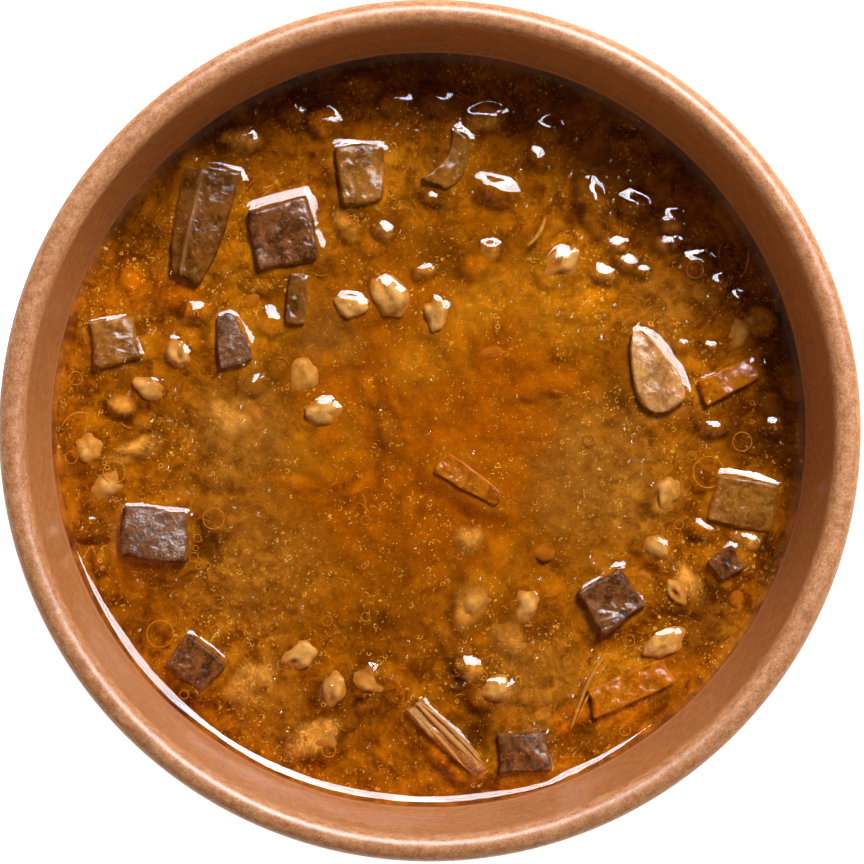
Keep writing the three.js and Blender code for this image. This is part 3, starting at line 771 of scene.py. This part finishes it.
def piece_distance(values, x, y):
    """How far outside a cut piece's outline points are, less than zero inside, in mm."""
    _, _, at, (length, width, _), turn, _, _, narrow = values
    c, s = math.cos(math.radians(turn)), math.sin(math.radians(turn))
    along = (x - at[0]) * c + (y - at[1]) * s
    across = (y - at[1]) * c - (x - at[0]) * s
    share = np.clip(along / length + 0.5, 0, 1)
    round_off = 0.9
    dx = np.abs(along) - length / 2 + round_off
    dy = np.abs(across) - width / 2 * (1 - narrow * share**2) + round_off
    outside = np.hypot(np.maximum(dx, 0), np.maximum(dy, 0))
    return outside + np.minimum(np.maximum(dx, dy), 0) - round_off


def grain_distance(grain, x, y, length, width):
    """The same for a grain's oval outline."""
    gx, gy, turn = grain[:3]
    c, s = math.cos(math.radians(turn)), math.sin(math.radians(turn))
    along = ((x - gx) * c + (y - gy) * s) / (length / 2)
    across = ((y - gy) * c - (x - gx) * s) / (width / 2)
    return (np.hypot(along, across) - 1) * width / 2


def top_plane(values):
    """The flat top of a cut piece: its middle in metres and the way it faces."""
    pose = piece_matrix(values)
    return pose @ Vector((0, 0, values[3][2] / 2 * MM)), pose.to_3x3() @ Vector((0, 0, 1))


def join(rise, near, lift):
    """Raises the broth to the higher of the two, rounded where they meet."""
    low = np.minimum(rise[near], lift)
    rise[near] = np.maximum(rise[near], lift) + 0.15 * np.maximum(low, 0)


def skirt(gap):
    """The broth drawn up round a piece of height 1, from the edge of its top outwards."""
    return np.exp(-np.maximum(gap, 0.0) * 0.5)


def film_height(x, y):
    """The surface of the broth in mm: level, climbing the wall and all that stands out of it.
    The slopes of the climb, 0.27 to 0.50, are what the shine lamps show in."""
    broth, food = bpy.context.scene.soup_broth, bpy.context.scene.soup_food
    level = broth.level / MM
    rise = np.zeros_like(x)
    wx, wy = x + 0.6 * fractal(x, y, 3.4, 5.5, 2), y + 0.6 * fractal(x, y, 3.4, 1.9, 2)
    px, py = x + 0.55 * fractal(x, y, 6.5, 5.5, 1), y + 0.55 * fractal(x, y, 6.5, 1.9, 1)
    for values in PIECES.values():
        away = piece_distance(values, px, py)
        near = np.flatnonzero(away < 8)
        middle, normal = top_plane(values)
        ox, oy = x[near] - middle.x / MM, y[near] - middle.y / MM
        within = np.minimum(1, 0.5 * values[3][1] / np.maximum(np.hypot(ox, oy), 0.1))
        across = (ox * normal.x + oy * normal.y) * within
        bare = values[5] > BARE
        least, share = (0.75, 0.72) if bare else (0.3, 1.0)
        top = share * np.clip(middle.z / MM - across / normal.z - level + 0.1, least, 1.4)
        gap = away[near]
        steep = 0.5 if values[1] == "carrot" else 1.0
        lift = top * skirt(steep * (gap + 0.1) / top) - 0.2 * smooth(-gap, 0.0, 3.0)
        join(rise, near, lift)
    for gx, gy, turn, top in SHOWN_GRAINS:
        away = grain_distance((gx, gy, turn), wx, wy, food.grain_length / MM,
                              food.grain_width / MM)
        near = np.flatnonzero(away < 6)
        cover = max(top, 0.0) + 0.28
        gap = away[near]
        dome = 1 - 0.62 * np.clip(1 + gap / 2.3, 0, 1) ** 2
        join(rise, near, cover * np.where(gap > 0, 0.38 * np.exp(-gap / 0.7), dome))
    for _, cx, cy, length, width, turn, top in LUMPS:
        away = grain_distance((cx, cy, turn), wx, wy, length, width)
        near = np.flatnonzero(away < 6)
        flank = 0.3 - np.maximum(away[near], -0.36 * width)
        lift = np.where(flank > 0, 0.6 + flank, 0.6 * np.exp(np.minimum(flank, 0) / 0.6))
        slope = min(1.2 * top, 1.0) * (0.43 - 0.09 * smooth(math.hypot(cx, cy), 42, 60))
        join(rise, near, slope * lift)
    creep, reach = broth.creep / MM, broth.creep_reach / MM
    edge = inner_radius(level + creep)
    climb = creep * np.exp((np.hypot(x, y) - edge) / reach)
    return level + np.hypot(np.maximum(rise, 0), climb)


def film_roughness(x, y):
    """Where the film is drawn thin over rough pieces and glitters."""
    food = bpy.context.scene.soup_food
    rough = np.zeros_like(x)
    for _, px, py, length, width, turn, top in LUMPS:
        away = grain_distance((px, py, turn), x, y, length, width)
        rough = np.maximum(rough, 0.4 * min(top, 1.0) * smooth(away, 0.3, -1.2))
    for gx, gy, turn, top in SHOWN_GRAINS:
        away = grain_distance((gx, gy, turn), x, y, food.grain_length / MM, food.grain_width / MM)
        rough = np.maximum(rough, 0.35 * smooth(away, 0.0, -1.5))
    for values in PIECES.values():
        away = piece_distance(values, x, y)
        rough = np.maximum(rough, 0.6 * smooth(away, 0.4, -0.8))
        rough = np.maximum(rough, 0.2 * smooth(away, 3.5, 1.5))
    return rough


def murk_height(x, y):
    """The top of the cloudy broth in mm."""
    broth, food = bpy.context.scene.soup_broth, bpy.context.scene.soup_food
    depth = 2.0 + 0.9 * fractal(x, y, 10.0, 3.1) + 0.35 * fractal(x, y, 2.6, 7.7)
    for tint, px, py, reach, share in PLACES:
        near = share * np.exp(-((np.hypot(x - px, y - py) / reach) ** 2) * 1.6)
        depth += {"cloud": -1.2, "deep": 1.6, "gold": -0.6, "orange": -0.3}[tint] * near
    depth = np.clip(depth, 0.5, 5.5)
    wx, wy = x + 0.7 * fractal(x, y, 3.2, 4.1), y + 0.7 * fractal(x, y, 3.2, 6.3)
    for _, px, py, length, width, turn, clear in SUNKEN:
        away = grain_distance((px, py, turn), wx, wy, length, width)
        depth += (1.3 - clear - depth) * 0.8 * smooth(away, 0.8, -1.4)
    for _, px, py, length, width, turn, rise in LUMPS:
        away = grain_distance((px, py, turn), wx, wy, length, width)
        depth += (0.5 - 0.4 * rise - depth) * smooth(away, 1.3, -1.5)
    for values in PIECES.values():
        depth += (0.45 - depth) * smooth(piece_distance(values, x, y), 5.0, 0.2)
    for gx, gy, turn, _ in SHOWN_GRAINS:
        away = grain_distance((gx, gy, turn), x, y, food.grain_length / MM, food.grain_width / MM)
        depth += (0.6 - depth) * smooth(away, 3.0, 0.0)
    return broth.level / MM - depth


def disc_body(cells, height, gap):
    """A round body inside the wall: an even grid over the disc, sides and a bottom."""
    bowl, broth = bpy.context.scene.soup_bowl, bpy.context.scene.soup_broth
    bm = bmesh.new()
    bmesh.ops.create_grid(bm, x_segments=cells, y_segments=cells, size=1.0)
    flat = np.array([v.co[:2] for v in bm.verts])
    a, b = flat[:, 0], flat[:, 1]
    wide = np.abs(a) > np.abs(b)
    with np.errstate(divide="ignore", invalid="ignore"):
        reach = np.where(wide, a, b)
        turn = np.where(wide, b / a * math.pi / 4, math.pi / 2 - a / b * math.pi / 4)
    turn = np.nan_to_num(turn)
    edge = inner_radius((broth.level + broth.creep) / MM) - gap
    x, y = edge * reach * np.cos(turn), edge * reach * np.sin(turn)
    z = height(x, y)
    for vert, px, py, pz in zip(bm.verts, x.tolist(), y.tolist(), z.tolist()):
        vert.co = (px * MM, py * MM, pz * MM)
    floor = (bowl.base_recess + bowl.paper) / MM + gap
    foot = inner_radius(floor) - gap
    rim_edges = [e for e in bm.edges if e.is_boundary]
    for edge_line in rim_edges:
        edge_line.smooth = False
    sides = bmesh.ops.extrude_edge_only(bm, edges=rim_edges)["geom"]
    for vert in (g for g in sides if isinstance(g, bmesh.types.BMVert)):
        shrink = foot * MM / vert.co.xy.length
        vert.co = (vert.co.x * shrink, vert.co.y * shrink, floor * MM)
    bottom = [e for e in bm.edges if e.is_boundary]
    for edge_line in bottom:
        edge_line.smooth = False
    bmesh.ops.contextual_create(bm, geom=bottom)
    face_outward(bm)
    return bm


def cut_block(values, cuts, rough, order):
    """One cut piece with soft edges and knife faces that aren't quite flat."""
    kind, look, _, sides, _, _, _, narrow = values
    bm = bmesh.new()
    bmesh.ops.create_cube(bm, size=2.0)
    bmesh.ops.subdivide_edges(bm, edges=bm.edges, cuts=cuts, use_grid_fill=True)
    ridge = bm.verts.layers.float.new("ridge")
    half = Vector(sides) / 2
    edge = 0.075 * min(sides)
    wave = math.sin((order + 1) * 12.9898) * 43758.5453
    skew = 0.08 * (2 * (wave - math.floor(wave)) - 1)
    for vert in bm.verts:
        unit = vert.co.copy()
        point = Vector(unit[i] * half[i] for i in range(3))
        core = Vector(max(edge - half[i], min(half[i] - edge, point[i])) for i in range(3))
        out = point - core
        if out.length > edge:
            point = core + out.normalized() * edge
        along = (unit.x + 1) / 2
        point.y *= 1 - narrow * along * along
        if look == "cream":
            point.y *= 1 - 0.5 * max(-unit.x - 0.1, 0.0) ** 2
            point.x *= 1 - 0.14 * unit.y * unit.y
        if kind == "layer":
            point.y += 0.18 * sides[0] * (unit.x * unit.x - 0.4)
        point.x += skew * point.y
        point.x *= 1 + 0.045 * math.sin(order + 2.3 * unit.y + 1.7 * unit.z)
        point.y *= 1 + 0.045 * math.sin(order * 1.7 + 2.6 * unit.x)
        point.z *= 1 + 0.045 * math.sin(order * 2.3 + 2.1 * unit.x + 1.9 * unit.y)
        if look == "celery" and kind == "wedge":
            # The ridge is raised here, and its weight also paints a highlight along it in the
            # material.
            vert[ridge] = math.exp(-(((unit.y + 0.35) / 0.10) ** 2)) * max(unit.z, 0.0)
            point.z += 0.5 * vert[ridge] - 0.5 * max(unit.z, 0.0) * max(-unit.y - 0.4, 0.0)
        if kind == "shred":
            point.rotate(Matrix.Rotation(math.radians(25) * unit.x, 3, "X"))
        swell = noise.fractal(point * 0.33 + Vector((order * 9.1, 0, 0)), 1.0, 2.0, 2)
        pit = noise.fractal(point * 1.15 + Vector((0, order * 5.3, 0)), 0.9, 2.1, 3)
        vert.co = point + out.normalized() * (0.22 * swell + rough * pit)
    bmesh.ops.transform(bm, matrix=Matrix.Scale(MM, 4), verts=bm.verts)
    bmesh.ops.transform(bm, matrix=piece_matrix(values), verts=bm.verts)
    face_outward(bm)
    return bm


def ball(rounds, rings):
    """A unit ball as a mesh that can be stamped many times."""
    bm = bmesh.new()
    bmesh.ops.create_uvsphere(bm, u_segments=rounds, v_segments=rings, radius=1.0)
    mesh = bpy.data.meshes.new("ball")
    bm.to_mesh(mesh)
    bm.free()
    return mesh


def stamp(bm, mesh):
    """Adds a copy of the mesh and returns its vertices."""
    first = len(bm.verts)
    bm.from_mesh(mesh)
    bm.verts.ensure_lookup_table()
    return bm.verts[first:]


def add_grain(bm, crease_layer, at, turn, scale, mesh, lean=(0.0, 0.0), split=True):
    """One barley grain: plump and uneven, blunter at one end, with a crease or a pit."""
    verts = stamp(bm, mesh)
    place = (
        Matrix.Translation(at)
        @ Matrix.Rotation(math.radians(turn), 4, "Z")
        @ Matrix.Rotation(lean[0], 4, "X")
        @ Matrix.Rotation(lean[1], 4, "Y")
    )
    seed = Vector((at[0] / MM, at[1] / MM, turn))
    point = 0.5 * abs(noise.noise(seed * 0.7 + Vector((0.5, 0.5, 0.5))))
    for vert in verts:
        unit = vert.co.copy()
        crease = math.exp(-((unit.y / 0.22) ** 2)) * max(unit.z, 0.0) * (1 - unit.x**4)
        pit = math.exp(-(((unit.x + 0.2) / 0.30) ** 2) - (unit.y / 0.24) ** 2) * max(unit.z, 0.0)
        lumpy = 1 + 0.30 * noise.noise(unit * 1.5 + seed) + 0.10 * noise.noise(unit * 3.5 + seed)
        blunt = 1 + 0.20 * unit.x - point * max(unit.x, 0.0) ** 2
        sink = 0.5 * pit if split else 0.06 * crease
        vert[crease_layer] = min(0.85, pit**2 * 1.1) if split else 0.15 * crease**2
        vert.co = place @ Vector((
            unit.x * lumpy * scale[0] / 2,
            unit.y * lumpy * scale[1] / 2 * blunt,
            (unit.z * lumpy - sink) * scale[2] / 2,
        ))


def thread(bm, mesh, through, radius):
    """A tapering thread from the first point past the second to the third, in mm."""
    a, b, c = (Vector(point) for point in through)
    verts = stamp(bm, mesh)
    for vert in verts:
        unit = vert.co.copy()
        t = (unit.z + 1) / 2
        middle = a * (1 - t) ** 2 + b * (2 * t * (1 - t)) + c * t * t
        along = (b - a) * (1 - t) + (c - b) * t
        side = Vector((-along.y, along.x, 0)).normalized()
        rise = side.cross(along).normalized()
        vert.co = (middle + (side * unit.x + rise * unit.y) * radius) * MM
    return verts


def ring(bm, middle, radius, thickness):
    """A thin ring lying level, all in mm."""
    first = len(bm.verts)
    pose = Matrix.Translation((radius, 0, 0)) @ Matrix.Rotation(math.pi / 2, 4, "X")
    circle = bmesh.ops.create_circle(bm, segments=5, radius=thickness, matrix=pose)["verts"]
    edges = {edge for vert in circle for edge in vert.link_edges}
    bmesh.ops.spin(
        bm, geom=circle + list(edges), cent=(0, 0, 0), axis=(0, 0, 1), dvec=(0, 0, 0),
        angle=2 * math.pi, steps=24, use_merge=True,
    )
    bm.verts.ensure_lookup_table()
    verts = bm.verts[first:]
    bmesh.ops.remove_doubles(bm, verts=verts, dist=1e-4)
    bm.verts.ensure_lookup_table()
    for vert in bm.verts[first:]:
        vert.co = (vert.co + Vector(middle)) * MM


def aimed(at, target):
    """The pose of a lamp or camera that looks from at to target, its top to the far side."""
    back = (at - target).normalized()
    right = Vector((0, 1, 0)).cross(back).normalized()
    pose = Matrix((right, back.cross(right), back)).transposed().to_4x4()
    pose.translation = at
    return pose


# ---- Operators --------------------------------------------------------------------


class SOUP_OT_bowl(bpy.types.Operator):
    """Makes the paper bowl with its rolled rim and side lap"""

    bl_idname = "soup.make_bowl"
    bl_label = "Paper Bowl"

    def execute(self, context):
        bowl = context.scene.soup_bowl
        roll, paper = bowl.roll_radius, bowl.paper
        centre = (bowl.rim_radius - roll, bowl.height - roll)
        floor = bowl.base_recess + paper
        wall_top = centre[1] - roll
        profile = [(0.0, bowl.base_recess), (bowl.foot_radius - bowl.foot_ring, bowl.base_recess)]
        profile += [(bowl.foot_radius - bowl.foot_ring, 0.25 * MM)]
        profile += [(bowl.foot_radius - bowl.foot_ring + 0.25 * MM, 0.0)]
        profile += [(bowl.foot_radius - 0.25 * MM, 0.0), (bowl.foot_radius, 0.25 * MM)]
        for i in range(1, 13):
            height = wall_top * i / 12
            profile.append((inner_radius(height / MM) * MM + paper, height))
        for angle in range(-140, 181, 10):
            profile.append((
                centre[0] + roll * math.cos(math.radians(angle)),
                centre[1] + roll * math.sin(math.radians(angle)),
            ))
        for i in range(29, -1, -1):
            height = floor + (centre[1] - 0.6 * MM - floor) * i / 29
            profile.append((inner_radius(height / MM) * MM, height))
        profile.append((0.0, floor))
        bm = bmesh.new()
        verts = [bm.verts.new((x, 0, z)) for x, z in profile]
        edges = [bm.edges.new(pair) for pair in zip(verts, verts[1:])]
        bmesh.ops.spin(
            bm, geom=verts + edges, cent=(0, 0, 0), axis=(0, 0, 1), dvec=(0, 0, 0),
            angle=2 * math.pi, steps=bowl.steps, use_merge=True,
        )
        bmesh.ops.remove_doubles(bm, verts=bm.verts, dist=1e-6)
        face_outward(bm)
        inside = bm.verts.layers.float.new("inside")
        lap = bm.verts.layers.float.new("lap")
        for vert in bm.verts:
            radius, height = vert.co.xy.length, vert.co.z
            within = radius < inner_radius(height / MM) * MM + 0.2 * MM
            vert[inside] = 1.0 if within and floor - 1e-5 < height < centre[1] else 0.0
            turn = math.degrees(math.atan2(vert.co.y, vert.co.x))
            lean = (centre[1] - height) / MM * 0.09
            start = 86.0 + lean * 0.4
            on_wall = radius > bowl.foot_radius / 2
            vert[lap] = 1.0 if start < turn < start + 6.5 and on_wall else 0.0
        new_piece("paper_bowl", bm, kraft_material(), ["bowl"])
        return {"FINISHED"}


class SOUP_OT_murk(bpy.types.Operator):
    """Makes the cloudy body of the broth"""

    bl_idname = "soup.make_murk"
    bl_label = "Cloudy Broth"

    def execute(self, context):
        bm = disc_body(context.scene.soup_broth.grid, murk_height, 0.25)
        bm.verts.ensure_lookup_table()
        spots = np.array([vert.co.xy for vert in bm.verts]).T / MM
        zone = lump_colors(*spots, zone_colors(*spots))
        new_piece("cloudy_broth", bm, murk_material(), zone=zone)
        return {"FINISHED"}


class SOUP_OT_film(bpy.types.Operator):
    """Makes the clear, shining surface of the broth"""

    bl_idname = "soup.make_film"
    bl_label = "Broth Surface"

    def execute(self, context):
        bm = disc_body(context.scene.soup_broth.grid, film_height, 0.03)
        rough = bm.verts.layers.float.new("rough")
        spots = np.array([vert.co.xy for vert in bm.verts]).T / MM
        for vert, value in zip(bm.verts, film_roughness(*spots).tolist()):
            vert[rough] = value
        film = new_piece("broth_surface", bm, film_material(), ["broth"])
        film.visible_shadow = False
        return {"FINISHED"}


class SOUP_OT_cut_pieces(bpy.types.Operator):
    """Makes the dice, wedges, sticks and shreds that stand out of the broth"""

    bl_idname = "soup.make_cut_pieces"
    bl_label = "Cut Pieces"

    def execute(self, context):
        food = context.scene.soup_food
        looks = {
            "dark": wet_material("dark_root", food.dark, (0.050, 0.015, 0.005, 1),
                                 (0.46, 0.20, 0.06, 1), 420, 1250, 0.24),
            "mauve": wet_material("mauve_root", food.mauve, (0.085, 0.030, 0.012, 1),
                                  (0.50, 0.26, 0.13, 1), 480, 2100, 0.26),
            "cream": wet_material("cream_root", food.cream, (0.34, 0.13, 0.03, 1),
                                  (0.85, 0.50, 0.22, 1), 300, 1100, 0.20, 0.4),
            "pale": wet_material("pale_root", food.pale, (0.17, 0.052, 0.003, 1),
                                 (0.74, 0.36, 0.07, 1), 300, 1100, 0.20, 0.5),
            "celery": wet_material("celery", food.celery, (0.075, 0.024, 0.002, 1),
                                   (0.42, 0.19, 0.05, 1), 260, 1100, 0.14),
            "carrot": wet_material("carrot", food.carrot, (0.32, 0.070, 0.001, 1),
                                   (0.90, 0.40, 0.02, 1), 330, 1100, 0.20, 0.5),
            "meat": wet_material("meat", food.meat, (0.34, 0.13, 0.02, 1),
                                 (0.95, 0.60, 0.30, 1), 500, 1300, 0.20, 0.4),
            "onion": wet_material("onion", food.onion, (0.17, 0.05, 0.003, 1),
                                  (0.70, 0.36, 0.06, 1), 300, 1100, 0.14, 0.5),
        }
        rough = {"dark": 0.06, "mauve": 0.09, "meat": 0.14}
        for order, (name, values) in enumerate(PIECES.items()):
            look = values[1]
            bm = cut_block(values, 26, rough.get(look, 0.05), order)
            new_piece("cut_" + name, bm, looks[look], [name])
        return {"FINISHED"}


class SOUP_OT_barley(bpy.types.Operator):
    """Makes the barley grains, those that show and those that lie under the surface"""

    bl_idname = "soup.make_barley"
    bl_label = "Barley"

    def execute(self, context):
        food, level = context.scene.soup_food, context.scene.soup_broth.level
        draw = random.Random(4)
        material = barley_material()
        lengths = (food.grain_length, food.grain_width, food.grain_height)
        whole, coarse = ball(24, 16), ball(12, 8)
        bm = bmesh.new()
        crease = bm.verts.layers.float.new("crease")
        for index, (x, y, turn, top) in enumerate(SHOWN_GRAINS):
            share = draw.uniform(0.96, 1.26)
            scale = [side * share * draw.uniform(0.88, 1.12) for side in lengths]
            at = (x * MM, y * MM, level + (top + 0.3) * MM - scale[2] / 2)
            lean = (draw.uniform(-0.3, 0.3), draw.uniform(-0.25, 0.25))
            add_grain(bm, crease, at, turn, scale, whole, lean, index % 5 == 2)
        face_outward(bm)
        new_piece("barley_shown", bm, material)
        bm = bmesh.new()
        crease = bm.verts.layers.float.new("crease")
        edge = inner_radius(level / MM) - 4
        for _ in range(food.sunken_grains):
            radius, angle = edge * math.sqrt(draw.random()), draw.uniform(0, 2 * math.pi)
            share = draw.uniform(0.8, 1.1)
            scale = [side * share for side in lengths]
            depth = draw.uniform(1.1, 2.4) * MM
            at = (radius * math.cos(angle) * MM, radius * math.sin(angle) * MM,
                  level - depth - scale[2] / 2)
            lean = (draw.uniform(-0.5, 0.5), draw.uniform(-0.4, 0.4))
            add_grain(bm, crease, at, draw.uniform(0, 360), scale, coarse, lean,
                      draw.random() < 0.3)
        face_outward(bm)
        new_piece("barley_sunken", bm, material)
        return {"FINISHED"}


class SOUP_OT_threads(bpy.types.Operator):
    """Makes the fibres of meat and vegetable and the fine rims of the larger bubbles"""

    bl_idname = "soup.make_threads"
    bl_label = "Fibres and Bubble Rims"

    def execute(self, context):
        food, level = context.scene.soup_food, context.scene.soup_broth.level / MM
        draw = random.Random(11)
        fine, long = ball(5, 9), ball(7, 16)
        bm = bmesh.new()
        kind = bm.verts.layers.float.new("kind")
        for start, bend, end, radius, rise, hue in THREADS:
            verts = thread(bm, long, [(*at, level + rise) for at in (start, bend, end)], radius)
            for vert in verts:
                vert[kind] = hue
        for _ in range(food.fibres):
            reach = DRIFTS_WITHIN * math.sqrt(draw.random())
            angle = draw.uniform(0, 2 * math.pi)
            length, turn = draw.uniform(0.9, 3.4), draw.uniform(0, 2 * math.pi)
            step = Vector((math.cos(turn), math.sin(turn), 0)) * length / 2
            side = Vector((-step.y, step.x, 0)) * draw.uniform(-1.1, 1.1)
            middle = Vector((reach * math.cos(angle), reach * math.sin(angle),
                             level - draw.uniform(0.0, 0.9)))
            tilt = Vector((0, 0, draw.uniform(-0.4, 0.2)))
            thread(bm, fine, (middle - step, middle + side, middle + step + tilt),
                   draw.uniform(0.06, 0.13))
        x, y, _ = np.array(RINGS).T
        for (px, py, reach), height in zip(RINGS, film_height(x, y).tolist()):
            ring(bm, (px, py, height), reach, 0.05 + 0.02 * reach)
        face_outward(bm)
        new_piece("soup_fibres", bm, thread_material())
        return {"FINISHED"}


class SOUP_OT_bubbles(bpy.types.Operator):
    """Makes the small bubbles that sit on the broth"""

    bl_idname = "soup.make_bubbles"
    bl_label = "Bubbles"

    def execute(self, context):
        draw = random.Random(23)
        bead = ball(8, 6)
        bm = bmesh.new()
        spots = []
        for _ in range(420):
            radius = DRIFTS_WITHIN * math.sqrt(draw.random())
            angle = draw.uniform(0, 2 * math.pi)
            if radius < 30 and draw.random() < 0.75:
                continue
            spots.append((radius * math.cos(angle), radius * math.sin(angle),
                          draw.uniform(0.16, 0.42)))
        x, y, _ = np.array(spots).T
        for (px, py, reach), height in zip(spots, film_height(x, y).tolist()):
            for vert in stamp(bm, bead):
                vert.co = Vector((
                    (px + vert.co.x * reach) * MM, (py + vert.co.y * reach) * MM,
                    (height + vert.co.z * reach * 0.6) * MM,
                ))
        face_outward(bm)
        material = bpy.data.materials.get("clear_broth") or film_material()
        bubbles = new_piece("surface_bubbles", bm, material)
        bubbles.visible_shadow = False
        return {"FINISHED"}


class SOUP_OT_stage(bpy.types.Operator):
    """Makes the pale floor, the softbox, the shine lamps, the soft world and the camera"""

    bl_idname = "soup.make_stage"
    bl_label = "Stage"

    def execute(self, context):
        scene, stage = context.scene, context.scene.soup_stage
        bm = bmesh.new()
        bmesh.ops.create_grid(bm, x_segments=2, y_segments=2, size=3.0)
        mesh = bpy.data.meshes.new("floor")
        bm.to_mesh(mesh)
        bm.free()
        floor = bpy.data.objects.new("floor", mesh)
        scene.collection.objects.link(floor)
        material, n = new_material("pale_floor")
        grain = n.noise(n.place(), 160, 3)
        color = n.mix(n.span(grain, 0.3, 0.7, 0.0, 0.06), tuple(stage.floor), (0.8, 0.8, 0.8, 1))
        close_material(n, n.add("BsdfPrincipled", {
            "Base Color": color, "Roughness": 0.8, "Specular IOR Level": 0.1,
            "Normal": n.bump(grain, 0.1 * MM, 0.2),
            "Emission Color": (0.95, 0.98, 1.0, 1), "Emission Strength": 1.0,
        }).outputs[0])
        mesh.materials.append(material)

        def lamp(name, azimuth, from_up, sides, watts, color):
            light = bpy.data.lights.new(name, "AREA")
            light.shape = "RECTANGLE"
            light.size, light.size_y = sides
            light.energy, light.color = watts, color
            holder = bpy.data.objects.new(name, light)
            a, e = math.radians(azimuth), math.radians(from_up)
            way = Vector((math.sin(e) * math.cos(a), math.sin(e) * math.sin(a), math.cos(e)))
            middle = Vector((0, 0, 0.04))
            holder.matrix_world = aimed(middle + way * LAMP_DISTANCE, middle)
            scene.collection.objects.link(holder)
            return holder

        lamp("softbox", SOFTBOX_AZIMUTH, SOFTBOX_FROM_UP, (0.24, 0.32), stage.key_watts,
             (1.0, 0.965, 0.985))
        wet = bpy.data.collections.new("wet")
        for piece in bpy.data.objects:
            if piece.name.startswith(("broth_", "surface_", "cut_", "paper_")):
                wet.objects.link(piece)
        for index, azimuth in enumerate(SHINE_AZIMUTHS):
            shine = lamp("shine_" + str(index), azimuth, SHINE_FROM_UP, (0.38, 0.36),
                         SHINE_WATTS, (0.90, 0.93, 0.98))
            shine.visible_diffuse = False
            shine.light_linking.receiver_collection = wet
        world = bpy.data.worlds.new("studio")
        world.use_nodes = True
        w = Nodes(world.node_tree)
        up = w.add("SeparateXYZ", {0: w.add("TexCoord").outputs["Generated"]}).outputs[2]
        dark_top = w.span(up, 0.55, 0.93, 0.34, 0.02)
        w.put(world.node_tree.nodes["Background"].inputs["Strength"], dark_top)
        w.put(world.node_tree.nodes["Background"].inputs["Color"], (1.0, 0.88, 0.74, 1))
        scene.world = world
        scene.view_settings.view_transform = "Standard"
        scene.view_settings.look = "None"

        camera = bpy.data.cameras.new("camera")
        camera.lens, camera.sensor_width = LENS, SENSOR
        camera.clip_start, camera.clip_end = 0.05, 20
        holder = bpy.data.objects.new("camera", camera)
        eye = Vector((LOOKS_FROM[0] * MM, LOOKS_FROM[1] * MM, stage.camera_height))
        holder.matrix_world = aimed(eye, Vector(LOOKS_AT) * MM)
        scene.collection.objects.link(holder)
        scene.camera = holder
        return {"FINISHED"}


class SOUP_PT_panel(bpy.types.Panel):
    """Lists the pieces of the soup"""

    bl_idname = "SOUP_PT_panel"
    bl_label = "Barley Vegetable Soup"
    bl_space_type = "VIEW_3D"
    bl_region_type = "UI"
    bl_category = "Soup"

    def draw(self, context):
        for operator in OPERATORS:
            self.layout.operator(operator.bl_idname)
        for group in SETTINGS:
            box = self.layout.box()
            box.label(text=group)
            values = getattr(context.scene, group)
            for key in values.bl_rna.properties.keys():
                if key not in {"rna_type", "name"}:
                    box.prop(values, key)


OPERATORS = (
    SOUP_OT_bowl, SOUP_OT_murk, SOUP_OT_cut_pieces, SOUP_OT_barley, SOUP_OT_threads,
    SOUP_OT_film, SOUP_OT_bubbles, SOUP_OT_stage,
)
SETTINGS = {
    "soup_bowl": SoupBowlSettings,
    "soup_broth": SoupBrothSettings,
    "soup_food": SoupFoodSettings,
    "soup_stage": SoupStageSettings,
}


def register():
    for group in (*SETTINGS.values(), *OPERATORS, SOUP_PT_panel):
        bpy.utils.register_class(group)
    for name, group in SETTINGS.items():
        setattr(bpy.types.Scene, name, PointerProperty(type=group))


def unregister():
    for name in SETTINGS:
        delattr(bpy.types.Scene, name)
    for group in reversed((*SETTINGS.values(), *OPERATORS, SOUP_PT_panel)):
        bpy.utils.unregister_class(group)


def main():
    register()
    for operator in OPERATORS:
        group, name = operator.bl_idname.split(".")
        getattr(getattr(bpy.ops, group), name)()


if __name__ == "__main__":
    main()
